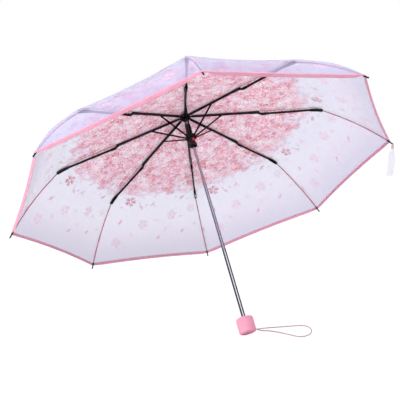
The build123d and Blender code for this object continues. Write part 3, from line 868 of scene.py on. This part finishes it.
# --- Canopy ------------------------------------------------------------------------------------------------
@dataclass
class Canopy:
    """The film, its seam tapes and its binding: one sector for each rib, one band for each rib member.

    Knots are (radius, height) places of the rib line in mm. Lengths are in mm too, but for print_edge, the
    distance from the crown, in metres, up to which the grid is fine.
    """

    frame: ShaftFrame
    knots: tuple[tuple[float, float], ...] = (
        (14.0, 4.3),
        (60.0, -4.9),
        (120.0, -17.0),
        (180.0, -29.3),
        (240.0, -41.2),
        (300.0, -53.4),
        (330.0, -60.6),
        (350.0, -74.0),
        (375.0, -95.6),
        (410.0, -126.3),
        (440.0, -161.5),
        (466.0, -198.0),
    )
    inner_rows: int = 240
    outer_rows: int = 112
    print_edge: float = 0.29
    columns: int = 92
    first_bend: float = 181.0
    second_bend: float = 335.0
    slack: float = 5.0
    hollow: float = 5.0
    keep: float = 0.08
    tape_half: float = 1.8
    tape_lift: float = 0.4
    tape_crown: float = 0.5
    binding_width: float = 6.5
    binding_turn: float = 5.2
    binding_lift: float = 0.6
    binding_bead: float = 0.7
    centre_inner: float = 4.6
    centre_outer: float = 14.0
    centre_height: float = 4.3
    print_share: float = 0.3
    printed: BlossomPrint = field(default_factory=BlossomPrint)
    tints: dict[tuple[RibPart, int], Points] = field(default_factory=dict)

    def __post_init__(self) -> None:
        """Works out the rib line, its distance from the crown on the flat gore, and the three bands."""
        fine = spline(np.array(self.knots) * MM, 4000)
        run = length_along(fine)
        stops = np.concatenate(
            [
                np.linspace(0, self.print_edge, self.inner_rows, endpoint=False),
                np.linspace(self.print_edge, run[-1], self.outer_rows),
            ]
        )
        self.rows = len(stops)
        self.line = np.stack([np.interp(stops, run, fine[:, k]) for k in (0, 1)], axis=1)
        steps = np.diff(self.line, axis=0) * np.array([math.cos(HALF_GORE), 1.0])
        start = self.line[0, 0] * math.cos(HALF_GORE)
        self.out = start + np.concatenate([[0], np.cumsum(np.hypot(steps[:, 0], steps[:, 1]))])
        a = int(np.searchsorted(self.line[:, 0], self.first_bend * MM))
        b = int(np.searchsorted(self.line[:, 0], self.second_bend * MM))
        self.bands = {RibPart.TOP: (0, a), RibPart.MIDDLE: (a, b), RibPart.TIP: (b, self.rows - 1)}
        across = np.gradient(self.line, axis=0)
        across /= np.linalg.norm(across, axis=1)[:, None]
        self.normal = np.stack([-across[:, 1], across[:, 0]], axis=1)

    def at(self, values: Points, rows: Points) -> Points:
        """One of the rib line's columns at places counted in rows, which needn't be whole."""
        return np.interp(rows, np.arange(self.rows), values)

    def crease(self, row: int, lateral: Points) -> Points:
        """Where the film folds, in rows: on the hinge line that runs straight across from a rib joint.

        Args:
            row: Row of the rib joint.
            lateral: Share of the way from the rib to the gore's middle.

        Returns:
            For each lateral place, the row where the rib line's radius is that of the joint divided by
            1 - share sin(22.5 degrees) squared.
        """
        share = np.abs(lateral)
        radius = self.line[row, 0] / (1 - share * math.sin(HALF_GORE) ** 2)
        return np.interp(radius, self.line[:, 0], np.arange(self.rows))

    def stations(self, part: RibPart, lateral: Points) -> Points:
        """Places on one band, evenly spread between its two creases.

        Args:
            part: The rib member that carries the band.
            lateral: Share of the way from the rib to the gore's middle, for each column.

        Returns:
            Rows by columns of places counted in rows of the rib line.
        """
        first, last = self.bands[part]
        start = self.crease(first, lateral) if first else np.zeros_like(lateral)
        end = self.crease(last, lateral) if last < self.rows - 1 else np.full_like(lateral, self.rows - 1)
        steps = np.linspace(0, 1, last - first + 1)[:, None]
        return start + (end - start) * steps

    def surface(self, azimuth: float, rows: Points, lateral: Points, lift: Any = 0.0) -> Points:
        """Points of the film beside one rib.

        Along a row the film runs straight from the rib to the middle line of the gore, where the chord of two
        ribs is cos(22.5 degrees) nearer the shaft. Between ribs it hollows towards the shaft by a share
        x(2 - x) of the hollow, most in the outer half, and the rim is drawn inwards by the slack.

        Args:
            azimuth: Azimuth of the rib.
            rows: Places on the rib line counted in rows, one column or one for each lateral place.
            lateral: Share of the way from the rib to the gore's middle, negative towards lower azimuths.
            lift: Distance out from the film, in metres.

        Returns:
            Rows by columns by 3, in the shaft frame.
        """
        radius, height = (self.at(self.line[:, k], rows) for k in (0, 1))
        out = self.at(self.out, rows)
        share = np.abs(lateral)[None, :]
        full = share * (2 - share)
        rim = smooth(0.30, 0.50, out)
        middle = smooth(0.05, 0.25, out) * (1 - 0.45 * rim)
        outward = np.stack([self.at(self.normal[:, k], rows) for k in (0, 1)], axis=-1)
        towards_rim = np.stack([outward[..., 1], -outward[..., 0]], axis=-1)
        shift = outward * (lift - self.hollow * MM * middle * full)[..., None]
        shift = shift - towards_rim * (self.slack * MM * rim * full)[..., None]
        chord = radius * (1 - share * (1 - math.cos(HALF_GORE) ** 2))
        side = radius * share * math.sin(HALF_GORE) * math.cos(HALF_GORE) * np.sign(lateral)[None, :]
        reach = np.hypot(chord, side) + shift[..., 0]
        turn = azimuth + np.arctan2(side, chord)
        return np.stack([reach * np.cos(turn), reach * np.sin(turn), height + shift[..., 1]], axis=-1)

    def squashed(self, piece: bpy.types.Object, part: RibPart, rib: int) -> bpy.types.Object:
        """Rides a piece on a rib member.

        Args:
            piece: The film, tape or binding.
            part: The rib member.
            rib: Rib number.

        Returns:
            The piece.
        """
        azimuth = azimuth_of(rib)
        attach(piece, part.body(rib))
        tuple(self.frame.turn([-math.sin(azimuth), math.cos(azimuth), 0]))
        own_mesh(piece)
        return piece

    def film(self, rib: int, part: RibPart, material: bpy.types.Material) -> bpy.types.Object:
        """One band of film: the halves of two gores, from the rib to the middle line of each.

        Args:
            rib: Rib number.
            part: The rib member that carries the band.
            material: Film material.

        Returns:
            The piece.
        """
        patches = []
        for sign in (-1, 1):
            lateral = np.linspace(-1, 0, self.columns) if sign < 0 else np.linspace(0, 1, self.columns)
            lateral = np.where(lateral == 0, sign * NEAR_ZERO, lateral)
            rows = self.stations(part, lateral)
            points = self.surface(azimuth_of(rib), rows, lateral)
            u = -sign * self.at(self.line[:, 0], rows) * math.sin(HALF_GORE) * (1 - np.abs(lateral)[None, :])
            v = self.at(self.out, rows)
            patches.append(Patch(points, np.stack([u, v], axis=-1), self.tint(u, v, part, sign)))
        piece = mesh_object(f"canopy_film_{part.value}_{rib}", patches, self.frame)
        dress(piece, material)
        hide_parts("canopy")
        return self.squashed(piece, part, rib)

    def tint(self, u: Points, v: Points, part: RibPart, sign: int) -> Points:
        """Print and painted shade of one half band, worked out once because every gore has the same print."""
        if (part, sign) not in self.tints:
            self.tints[part, sign] = self.printed.paint(u, v)
        return self.tints[part, sign]

    def tape(self, rib: int, part: RibPart, material: bpy.types.Material) -> bpy.types.Object:
        """The tape welded along a seam, a strip that follows the rib a hair inside the film.

        Its section is a low parabola: at x from -1 to 1 across, lift + crown (1 - x squared) below the film.

        Args:
            rib: Rib number.
            part: The rib member that carries it.
            material: Tape material.

        Returns:
            The piece.
        """
        first, last = self.bands[part]
        rows = np.arange(first, last + 1)[:, None]
        radius = self.line[first : last + 1, 0]
        reach = np.minimum(self.tape_half * MM / (radius * math.sin(HALF_GORE)), 0.9)
        points = []
        for place in np.linspace(-1, 1, 7):
            ridge = -(self.tape_lift + self.tape_crown * (1 - place * place)) * MM
            row, centre = (
                self.surface(azimuth_of(rib), rows, np.array([lateral]), ridge)[:, 0, :]
                for lateral in (place, NEAR_ZERO)
            )
            points.append(centre + (row - centre) * reach[:, None])
        piece = mesh_object(f"seam_tape_{part.value}_{rib}", [Patch(np.stack(points, axis=1))], self.frame)
        dress(piece, material)
        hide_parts("canopy_hem")
        return self.squashed(piece, part, rib)

    def binding(self, rib: int, material: bpy.types.Material) -> bpy.types.Object:
        """The tape folded over the rim, whose edge curls in between the ribs.

        Its section goes down the inside, along the curl and back, and up the outside.

        Args:
            rib: Rib number.
            material: Binding material.

        Returns:
            The piece.
        """
        azimuth = azimuth_of(rib)
        rim_row = self.rows - 1
        lateral = np.concatenate([np.linspace(-1, -1e-6, 40), np.linspace(1e-6, 1, 40)[1:]])
        step = float(self.out[-1] - self.out[-2])  # even in the outer rows
        back = rim_row - np.round(np.linspace(1, 0, 9) * self.binding_width * MM / step).astype(int)
        outwards = self.line[-1] - self.line[-2]
        outwards = outwards / np.linalg.norm(outwards) * self.binding_bead * MM
        bead = np.array([outwards[0] * math.cos(azimuth), outwards[0] * math.sin(azimuth), outwards[1]])
        turned = self.binding_turn * MM * smooth(0.02, 0.16, np.abs(lateral))
        depths = np.linspace(0.1, 1.0, 5)
        lift = self.binding_lift * MM

        def ring(row: int, height: Any) -> Points:
            """The line along one row of the film, this far out from it."""
            return self.surface(azimuth, np.array([[row]]), lateral, height)[0]

        rings = [ring(row, -lift) for row in back]
        rings += [ring(rim_row, -lift - turned * depth) for depth in depths]
        rings += [ring(rim_row, -lift - turned * depth) + bead for depth in depths[::-1]]
        rings += [ring(rim_row, 0.0) + bead]
        rings += [ring(row, lift) for row in back[::-1]]
        piece = mesh_object(f"rim_binding_{rib}", [Patch(np.stack(rings))], self.frame)
        dress(piece, material)
        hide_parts("canopy_hem")
        return self.squashed(piece, RibPart.TIP, rib)

    def centre(self, material: bpy.types.Material) -> bpy.types.Object:
        """The small disc of film that is clamped between the crown and its cap, a flat ring about the shaft.

        Args:
            material: Film material.

        Returns:
            The piece.
        """
        radius = np.linspace(self.centre_inner, self.centre_outer, 8) * MM
        ring = lathe(np.stack([radius, np.full_like(radius, self.centre_height * MM)], axis=1), 64)
        x, y = ring.points[..., 0], ring.points[..., 1]
        u = x * self.print_share
        ring.uv = np.stack([u, y], axis=-1)
        ring.colour = self.printed.paint(u, np.hypot(x, y))
        piece = mesh_object("canopy_film_centre", [ring], self.frame)
        dress(piece, material)
        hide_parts("canopy")
        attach(piece, "head")
        return piece

    def build(self) -> None:
        """Makes every band of film with its tape and binding."""
        film, tape, binding = FILM.build(), TAPE.build(), BINDING.build()
        for part in self.bands:
            for rib in range(1, RIB_COUNT + 1):
                sheet = self.film(rib, part, film)
                trim = [self.binding(rib, binding) if part is RibPart.TIP else self.tape(rib, part, tape)]
                part.node(rib)
        self.centre(film)
        LOG.info("canopy: %d sectors, %.3f m from crown to rim", RIB_COUNT, self.out[-1])


# --- Strap -------------------------------------------------------------------------------------------------
@dataclass
class ClosureStrap:
    """The film strap that ties the closed umbrella, hanging from the rim at one tip; sizes in mm."""

    width: float = 18.0
    neck: float = 7.0
    length: float = 76.0
    flat_length: float = 77.0
    tab: float = 9.0
    pleat: float = 1.1
    bow: float = 1.6
    cup: float = 1.4
    sway: float = 1.6
    swing: float = 1.8
    rows: int = 90
    columns: int = 20

    def build(self) -> None:
        """Makes the strap: gathered into a pink tab at the rim, it widens downwards and curls as it hangs.

        Its width grows from the neck to the full width over the first two fifths, as a smooth step. Across,
        it is pleated at the neck and cupped, as a parabola, towards the free end. Downwards it bows and sways
        by slow sines. The tab, the hems and a pale patch near the end are painted by smooth steps.
        """
        low, high = (np.array(c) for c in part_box("closure_strap"))
        middle = (low + high) / 2
        side = np.array([high[0] - low[0], -(high[1] - low[1]), 0.0])
        side /= np.linalg.norm(side)
        out = np.array([-side[1], side[0], 0.0])
        down = np.linspace(0, 1, self.rows)[:, None]
        across = np.linspace(-0.5, 0.5, self.columns)[None, :]
        width = self.neck + (self.width - self.neck) * smooth(0.06, 0.42, down)
        pleats = np.sin(across * 14) * self.pleat * (1 - smooth(0.1, 0.6, down))
        bow = self.bow * np.sin(down * 5.2) * down + self.cup * (across * 2) ** 2 * down + pleats
        sway = self.sway * np.sin(down * 3.4) * smooth(0.1, 0.5, down) - self.swing * down**2
        points = (
            np.array([middle[0], middle[1], high[2]])
            + (across * width + sway)[..., None] * side * MM
            + bow[..., None] * out * MM
            + down[..., None] * np.array([0, 0, -self.length * MM])
        )
        flat = np.stack(np.broadcast_arrays(across * self.width * MM, down * self.flat_length * MM), axis=-1)
        patch = smooth(0.80, 0.82, down) * (1 - smooth(0.94, 0.96, down)) * (np.abs(across) < 0.36)
        fold = 1 - smooth(self.tab / self.length, self.tab / self.length + 0.02, down) + 0 * across
        hem = smooth(0.42, 0.45, np.abs(across)) + 0 * down
        colour = np.zeros((*fold.shape, 4))
        colour[..., :3] = np.where(fold[..., None] > 0.5, linear(244, 172, 196), linear(246, 246, 252))
        colour[..., 3] = np.clip(0.35 * patch + 0.95 * fold + 0.3 * hem, 0, 0.95)
        piece = mesh_object("closure_strap_film", [Patch(points, flat, colour)], None)
        dress(piece, STRAP_FILM.build())
        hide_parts("closure_strap")
        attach(piece, "arm_tip_rib_8")
        LOG.info("strap: %.0f by %.0f mm", self.width, self.length)


# --- Handle ------------------------------------------------------------------------------------------------
@dataclass
class Handle:
    """The short round grip, turned about the shaft, with its end plate."""

    frame: ShaftFrame
    radius: float = 19.0
    top: float = -524.5
    bottom: float = -559.5
    edge: float = 5.0
    plate: float = 13.5

    def profile(self) -> Points:
        """Half section of the grip: lip, lower corner, side, upper corner and collar, with quarter circles.

        Returns:
            (radius, height) points in metres, from the rim of the open end to the shaft.
        """
        turn = np.linspace(0, math.pi / 2, 9)
        inner = self.radius - self.edge
        lip = [[self.plate, 3.0], [self.plate, 0.5], [self.plate + 0.4, 0.0]]
        lower = np.stack([inner + self.edge * np.sin(turn), self.edge - self.edge * np.cos(turn)], axis=1)
        side = [[self.radius, height] for height in (9.0, 14.0, 20.0, 26.0)]
        upper = np.stack([inner + self.edge * np.cos(turn), self.edge * np.sin(turn) - self.edge], axis=1)
        collar = [[8.6, 0.0], [8.2, -0.4], [7.6, -0.5], [4.5, -0.5]]
        from_bottom = np.concatenate([lip, lower, side]) + [0.0, self.bottom]
        from_top = np.concatenate([upper, collar]) + [0.0, self.top]
        return np.concatenate([from_bottom, from_top]) * MM

    def build(self) -> None:
        """Makes the grip and its plate."""
        grip = mesh_object("grip_shell", [lathe(self.profile(), 96)], self.frame)
        dress(grip, HANDLE_PINK.build())
        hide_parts("handle")
        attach(grip, "grip")
        dish = [[0.01, 0.9], [4.0, 0.9], [4.3, 0.6], [11.6, 0.6], [12.2, 0.7], [12.8, 1.0]]
        rings = np.array([*dish, [self.plate, 1.6], [self.plate, 2.8]]) + [0.0, self.bottom]
        plate = mesh_object("grip_plate", [lathe(rings[::-1] * MM, 72)], self.frame)
        dress(plate, PLATE_PINK.build())
        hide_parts("handle_plate")
        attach(plate, "grip")
        LOG.info("grip: %.0f mm across", 2 * self.radius)


# --- Wrist cord --------------------------------------------------------------------------------------------
@dataclass
class WristCord:
    """The loop of cord that leaves the grip through two holes and lies on the floor."""

    radius: float = 1.1
    length: float = 0.3618
    route: tuple[tuple[float, float, float], ...] = (
        (0.006878, -0.216416, 0.011001),
        (0.016712, -0.207356, 0.003565),
        (0.043, -0.196828, 0.0012),
        (0.078, -0.202828, 0.0012),
        (0.115, -0.210828, 0.0012),
        (0.145, -0.216328, 0.0012),
        (0.157, -0.228828, 0.0012),
        (0.15, -0.251828, 0.0012),
        (0.13, -0.269828, 0.0012),
        (0.104, -0.271828, 0.0012),
        (0.086, -0.244828, 0.0012),
        (0.064, -0.217828, 0.0012),
        (0.042, -0.207828, 0.0012),
        (0.025114, -0.217551, 0.011932),
        (0.010335, -0.220612, 0.014444),
    )

    def build(self) -> None:
        curve = bpy.data.curves.new("wrist_cord_line", "CURVE")
        curve.dimensions = "3D"
        curve.bevel_depth = self.radius * MM
        curve.bevel_resolution = 4
        curve.resolution_u = 16
        curve.use_fill_caps = True
        line = curve.splines.new("NURBS")
        line.points.add(len(self.route) - 1)
        line.points.foreach_set("co", np.array([(*p, 1.0) for p in self.route], np.float32).ravel())
        line.order_u = 3
        line.use_endpoint_u = True
        piece = bpy.data.objects.new("wrist_cord_line", curve)
        bpy.context.scene.collection.objects.link(piece)
        curve.materials.append(CORD_PINK.build())
        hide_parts("wrist_cord")
        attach(piece, "grip")
        2 * self.radius * MM
        LOG.info("cord: %.3f m", self.length)


# --- Ribs, hub and shaft -----------------------------------------------------------------------------------
@dataclass
class ShaftTube:
    """One plated tube of the shaft, with a rolled lip at its lower end and a rounded upper edge."""

    node: str
    body: str
    radius: float
    low: float
    high: float
    wall: float = 0.5
    lip: float = 0.7

    def build(self, frame: ShaftFrame, material: bpy.types.Material) -> None:
        """Makes the tube, turned from a section that runs down the inside, round the lip and up the outside.

        Args:
            frame: The shaft frame.
            material: Its plating.
        """
        inside, bead, half = self.radius - self.wall, self.lip / 2, self.wall / 2
        foot = self.low + bead
        turn = np.linspace(math.pi, 2 * math.pi, 7)[1:-1]
        start = [[inside, self.high - 6.0], [inside, foot + 0.3]]
        lip = np.stack([self.radius - half + half * np.cos(turn), foot + bead * np.sin(turn)], axis=1)
        rise = np.linspace(foot + 0.3, self.high - 0.5, 12)
        outer = np.stack([np.full_like(rise, self.radius), rise], axis=1)
        head = [[self.radius - 0.15, self.high - 0.12], [inside + 0.15, self.high], [inside, self.high - 0.3]]
        profile = np.concatenate([start, lip, outer, head, start[:1]])
        piece = mesh_object(f"{self.node}_plated", [lathe(profile * MM, 96)], frame)
        dress(piece, material)
        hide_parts(self.node)
        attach(piece, self.body)


@dataclass
class Metalwork:
    """The nodes that show as they are (ribs, stretchers, links, crown, runner), and the plated tubes."""

    nodes: dict[str, bpy.types.Object]
    frame: ShaftFrame
    tubes: tuple[ShaftTube, ...] = (
        ShaftTube("lower_tube", "grip", 4.4, -556.5, -347.3),
        ShaftTube("middle_tube", "middle_section", 3.8, -363.2, -170.0),
        ShaftTube("upper_tube", "head", 3.2, -186.0, 3.0),
    )

    def build(self) -> None:
        """Makes the tubes and gives each node its finish."""
        enamel, hub = ENAMEL.build(), HUB_BLACK.build()
        wearing = {
            "link": WIRE.build(),
            "crown": hub,
            "crown_cap": hub,
            "runner": hub,
            "runner_button": BUTTON_RED.build(),
            "tip_rib": ROD.build(self.frame.origin),
        }
        steel = STEEL.build()
        for tube in self.tubes:
            tube.build(self.frame, steel)
        for name, node in self.nodes.items():
            stem = name.rstrip("0123456789").rstrip("_")
            dress(node, wearing.get(stem, enamel))
        LOG.info("metalwork: %d tubes, %d nodes dressed", len(self.tubes), len(self.nodes))


@dataclass(frozen=True)
class Fitting:
    """Two pressed plates on a rib member, one on each side.

    The member slopes down by drop degrees. The outline is in mm along the member from its first joint and up
    from it, and inner and outer are how far to the side a plate's two faces are.
    """

    name: str
    part: RibPart
    drop: float
    outline: Points
    inner: float
    outer: float

    def plates(self) -> list[Patch]:
        """The plates on both sides, the second one with its outline turned round to face outwards."""
        return [
            self.plate(self.outline, self.inner, self.outer),
            self.plate(self.outline[::-1], -self.inner, -self.outer),
        ]

    @staticmethod
    def plate(outline: Points, inner: float, outer: float) -> Patch:
        """A flat plate: its outline at two distances to the side, with fans over both faces.

        Args:
            outline: Convex outline in mm.
            inner: Distance of the face towards the rib.
            outer: Distance of the other face.

        Returns:
            The closed surface, in metres: along the member, up from it and sideways.
        """
        centre = np.broadcast_to(outline.mean(axis=0), outline.shape)
        rows = [(centre, inner), (outline, inner), (outline, outer), (centre, outer)]
        points = np.stack([np.column_stack([line, np.full(len(line), side)]) for line, side in rows])
        return Patch(points * MM, closed=True)


@dataclass
class RibFittings:
    """Pressed brackets at the two joints of each rib, and the pink sleeve under its tip rod."""

    frame: ShaftFrame
    joints: dict[str, Any]
    top_drop: float = 11.3
    middle_drop: float = 10.2
    tip_drop: float = 45.2
    top_length: float = 174.0
    middle_length: float = 158.0
    tip_length: float = 191.4
    tip_bow: float = 8.0
    corner_cut: float = 0.6
    fork_nose: float = 2.7
    sleeve_radius: float = 1.75
    sleeve_from: float = 10.0
    sleeve_to: float = 172.0

    def joint(self, name: str, rib: int) -> Points:
        """A joint's place in the plane of its rib: distance from the shaft, and height."""
        x, y, z = self.frame.local(self.joints[f"{name}_{rib}"]["pos_m"])
        return np.array([math.hypot(x, y), z])

    def spread(self, rib: int, start: Points, drop: float, local: Points) -> Points:
        """Carries points of a member's own frame to the shaft frame.

        Args:
            rib: Rib number.
            start: The member's first joint in the plane of the rib.
            drop: Its slope below level, in degrees.
            local: Points in metres: along the member, to its upper side, and sideways.

        Returns:
            The points in the shaft frame.
        """
        a, d = azimuth_of(rib), math.radians(drop)
        radius = start[0] + local[..., 0] * math.cos(d) + local[..., 1] * math.sin(d)
        height = start[1] - local[..., 0] * math.sin(d) + local[..., 1] * math.cos(d)
        side = local[..., 2]
        x = radius * math.cos(a) - side * math.sin(a)
        y = radius * math.sin(a) + side * math.cos(a)
        return np.stack([x, y, height], axis=-1)

    def bracket(self, rib: int, fitting: Fitting, material: bpy.types.Material) -> bpy.types.Object:
        """One bracket from its flat plates.

        Args:
            rib: Rib number.
            fitting: The kind of bracket.
            material: Its enamel.

        Returns:
            The piece.
        """
        start = self.joint("top_hinge" if fitting.part is RibPart.TOP else "middle_hinge", rib)
        plates = fitting.plates()
        for patch in plates:
            patch.points = self.spread(rib, start, fitting.drop, patch.points)
        piece = mesh_object(f"{fitting.name}_{rib}", plates, self.frame)
        piece.data.polygons.foreach_set("use_smooth", np.zeros(len(piece.data.polygons), bool))
        dress(piece, material)
        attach(piece, fitting.part.body(rib))
        return piece

    def strip(self, low: float, high: float, bottom: float, top: float) -> Points:
        """A rectangle with cut corners, as an outline."""
        c = self.corner_cut
        return np.array(
            [
                [low + c, bottom],
                [high - c, bottom],
                [high, bottom + c],
                [high, top - c],
                [high - c, top],
                [low + c, top],
                [low, top - c],
                [low, bottom + c],
            ]
        )

    def sleeve(self, rib: int, material: bpy.types.Material) -> bpy.types.Object:
        """The trough of pink tape that holds a tip rod from below, bowed as the rod is.

        The rod is the arc with the given bow over its chord: y = 4 bow t (1 - t) at a share t of the length.

        Args:
            rib: Rib number.
            material: Tape material.

        Returns:
            The piece.
        """
        along = np.linspace(self.sleeve_from, self.sleeve_to, 80)[:, None]
        turn = np.radians(np.linspace(-200, 20, 13))[None, :]
        share = along / self.tip_length
        rise = 4 * self.tip_bow * share * (1 - share)
        ends = np.minimum(1, np.minimum(along - self.sleeve_from, self.sleeve_to - along) / 6 + 0.6)
        radius = self.sleeve_radius * ends
        local = np.stack(
            [along + 0 * turn, rise + radius * np.sin(turn), radius * np.cos(turn) + 0 * along], axis=-1
        )
        points = self.spread(rib, self.joint("tip_hinge", rib), self.tip_drop, local * MM)
        piece = mesh_object(f"rod_sleeve_{rib}", [Patch(points)], self.frame)
        dress(piece, material)
        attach(piece, RibPart.TIP.body(rib))
        return piece

    def fork(self) -> Points:
        """The fork that holds the tip rod's eye, a tapered tongue with a half circle for its nose.

        Returns:
            Its outline in mm.
        """
        far = self.middle_length
        turn = np.linspace(-math.pi / 2, math.pi / 2, 9)
        nose = np.stack([far + self.fork_nose * np.cos(turn), self.fork_nose * np.sin(turn) - 8.2], axis=1)
        lower, upper = [[far - 29, -6.9], [far - 12, -8.6]], [[far - 12, -2.7], [far - 29, -2.7]]
        return np.concatenate([lower, nose, upper])

    def fittings(self) -> list[Fitting]:
        """The kinds of bracket that each rib has.

        Returns:
            The knuckle at its first joint, and the collar and the fork of its middle member.
        """
        knuckle = self.strip(self.top_length - 24, self.top_length + 2.2, -1.9, 2.2)
        collar = self.strip(5.5, 19, -6.9, -2.65)
        return [
            Fitting("knuckle", RibPart.TOP, self.top_drop, knuckle, 2.25, 3.2),
            Fitting("collar", RibPart.MIDDLE, self.middle_drop, collar, 1.95, 2.9),
            Fitting("fork", RibPart.MIDDLE, self.middle_drop, self.fork(), 1.95, 3.0),
        ]

    def build(self) -> None:
        """Makes the brackets and sleeves of every rib."""
        enamel, tape = ENAMEL.build(), TAPE.build()
        for rib in range(1, RIB_COUNT + 1):
            for fitting in self.fittings():
                self.bracket(rib, fitting, enamel)
            self.sleeve(rib, tape)
        LOG.info("fittings: %d ribs", RIB_COUNT)


# --- Studio ------------------------------------------------------------------------------------------------
@dataclass
class Studio:
    """Camera, floor, world and lamps."""

    place: tuple[float, float, float] = (-0.69036, -1.38544, 0.57813)
    turn: tuple[float, float, float] = (1.366295, -0.028461, -0.448121)
    lens: float = 59.713
    floor_half: float = 9.0
    floor_glow: float = 1.09
    floor_share: float = 0.86
    soft_box: tuple[float, float, float] = (-0.33, -0.45, 0.83)
    soft_edge: tuple[float, float] = (0.84, 0.92)
    aim: tuple[float, float, float] = (0.0, 0.0, 0.25)

    def camera(self) -> None:
        """Makes the scene's camera."""
        data = bpy.data.cameras.new("camera")
        data.lens = self.lens
        data.sensor_width = 36.0
        data.clip_end = 60.0
        camera = bpy.data.objects.new("camera", data)
        camera.location = self.place
        camera.rotation_euler = self.turn
        bpy.context.scene.collection.objects.link(camera)
        bpy.context.scene.camera = camera

    def floor(self) -> None:
        """Makes the floor, white to the eye with the object's soft shadow, and dark in reflections."""
        n = self.floor_half
        corners = np.array([[[-n, -n, 0.0], [n, -n, 0.0]], [[-n, n, 0.0], [n, n, 0.0]]])
        floor = mesh_object("floor", [Patch(corners)], None)
        s = Shader("floor_white")
        s.set(Base_Color=rgba((0.93, 0.93, 0.93)), Roughness=0.9)
        direct, mirrored = s.rays()
        glow = s.light("ShaderNodeEmission", WHITE, self.floor_glow)
        dim = s.light("ShaderNodeEmission", (0.12, 0.115, 0.13), 1.0)
        seen = s.blend(direct * self.floor_share, s.surface.outputs[0], glow)
        s.link(s.blend(mirrored, seen, dim), s.output.inputs["Surface"])
        dress(floor, s.material)

    def world(self) -> None:
        """Makes a white surround, a little dimmer as light than it looks, and mostly dark in reflections."""
        world = bpy.data.worlds.new("surround")
        bpy.context.scene.world = world
        world.use_nodes = True
        s = Shader.on(world.node_tree, "ShaderNodeOutputWorld")
        facing = s.node(
            "ShaderNodeVectorMath",
            {"operation": "DOT_PRODUCT"},
            {0: s.place.outputs["Generated"], 1: self.soft_box},
        )
        direct, mirrored = s.rays()
        bright = Signal(s, facing.outputs["Value"]).between(*self.soft_edge)
        glow = s.light("ShaderNodeBackground", (0.96, 0.97, 1.0), 0.7)
        dark = s.light("ShaderNodeBackground", (0.1, 0.1, 0.115), 1.0)
        box = s.light("ShaderNodeBackground", WHITE, 1.7)
        seen = s.light("ShaderNodeBackground", WHITE, 1.0)
        around = s.blend(mirrored, glow, s.blend(bright, dark, box))
        s.link(s.blend(direct, around, seen), s.output.inputs["Surface"])

    def lamp(self, name: str, place: tuple[float, float, float], size: float, watts: float) -> None:
        """Makes a square lamp that faces the middle of the object and shows in no reflection.

        Args:
            name: Name of the lamp.
            place: Where it hangs.
            size: Its side in metres.
            watts: Its power.
        """
        data = bpy.data.lights.new(name, "AREA")
        data.size = size
        data.energy = watts
        lamp = bpy.data.objects.new(name, data)
        z = np.array(place, float) - np.array(self.aim)
        z /= np.linalg.norm(z)
        x = np.cross([0.0, 0.0, 1.0], z)
        x /= np.linalg.norm(x)
        y = np.cross(z, x)
        matrix = np.eye(4)
        matrix[:3, 0], matrix[:3, 1], matrix[:3, 2], matrix[:3, 3] = x, y, z, place
        lamp.matrix_world = Matrix(matrix.tolist())
        lamp.visible_glossy = False
        bpy.context.scene.collection.objects.link(lamp)

    def build(self) -> None:
        """Makes the whole studio."""
        self.camera()
        self.floor()
        self.world()
        self.lamp("key", (-2.4, 0.1, 0.45), 1.6, 46.0)
        self.lamp("top", (0.2, -0.1, 2.6), 2.0, 46.0)
        bpy.context.scene.view_settings.view_transform = "Standard"
        LOG.info("studio: floor %.0f m across, two lamps", 2 * self.floor_half)


def main() -> None:
    """Builds the umbrella round the frame and writes how large it came out."""
    logging.basicConfig(level=logging.INFO, format="%(name)s: %(message)s")
    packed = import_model()
    joints = {j["name"]: j for j in packed["record"]["behaviour"]["joints"]}
    frame = ShaftFrame.from_joints(joints)
    Studio().build()
    WristCord().build()
    Metalwork(packed["nodes"], frame).build()
    RibFittings(frame, joints).build()
    Handle(frame).build()
    ClosureStrap().build()
    Canopy(frame).build()


if __name__ == "__main__":
    main()
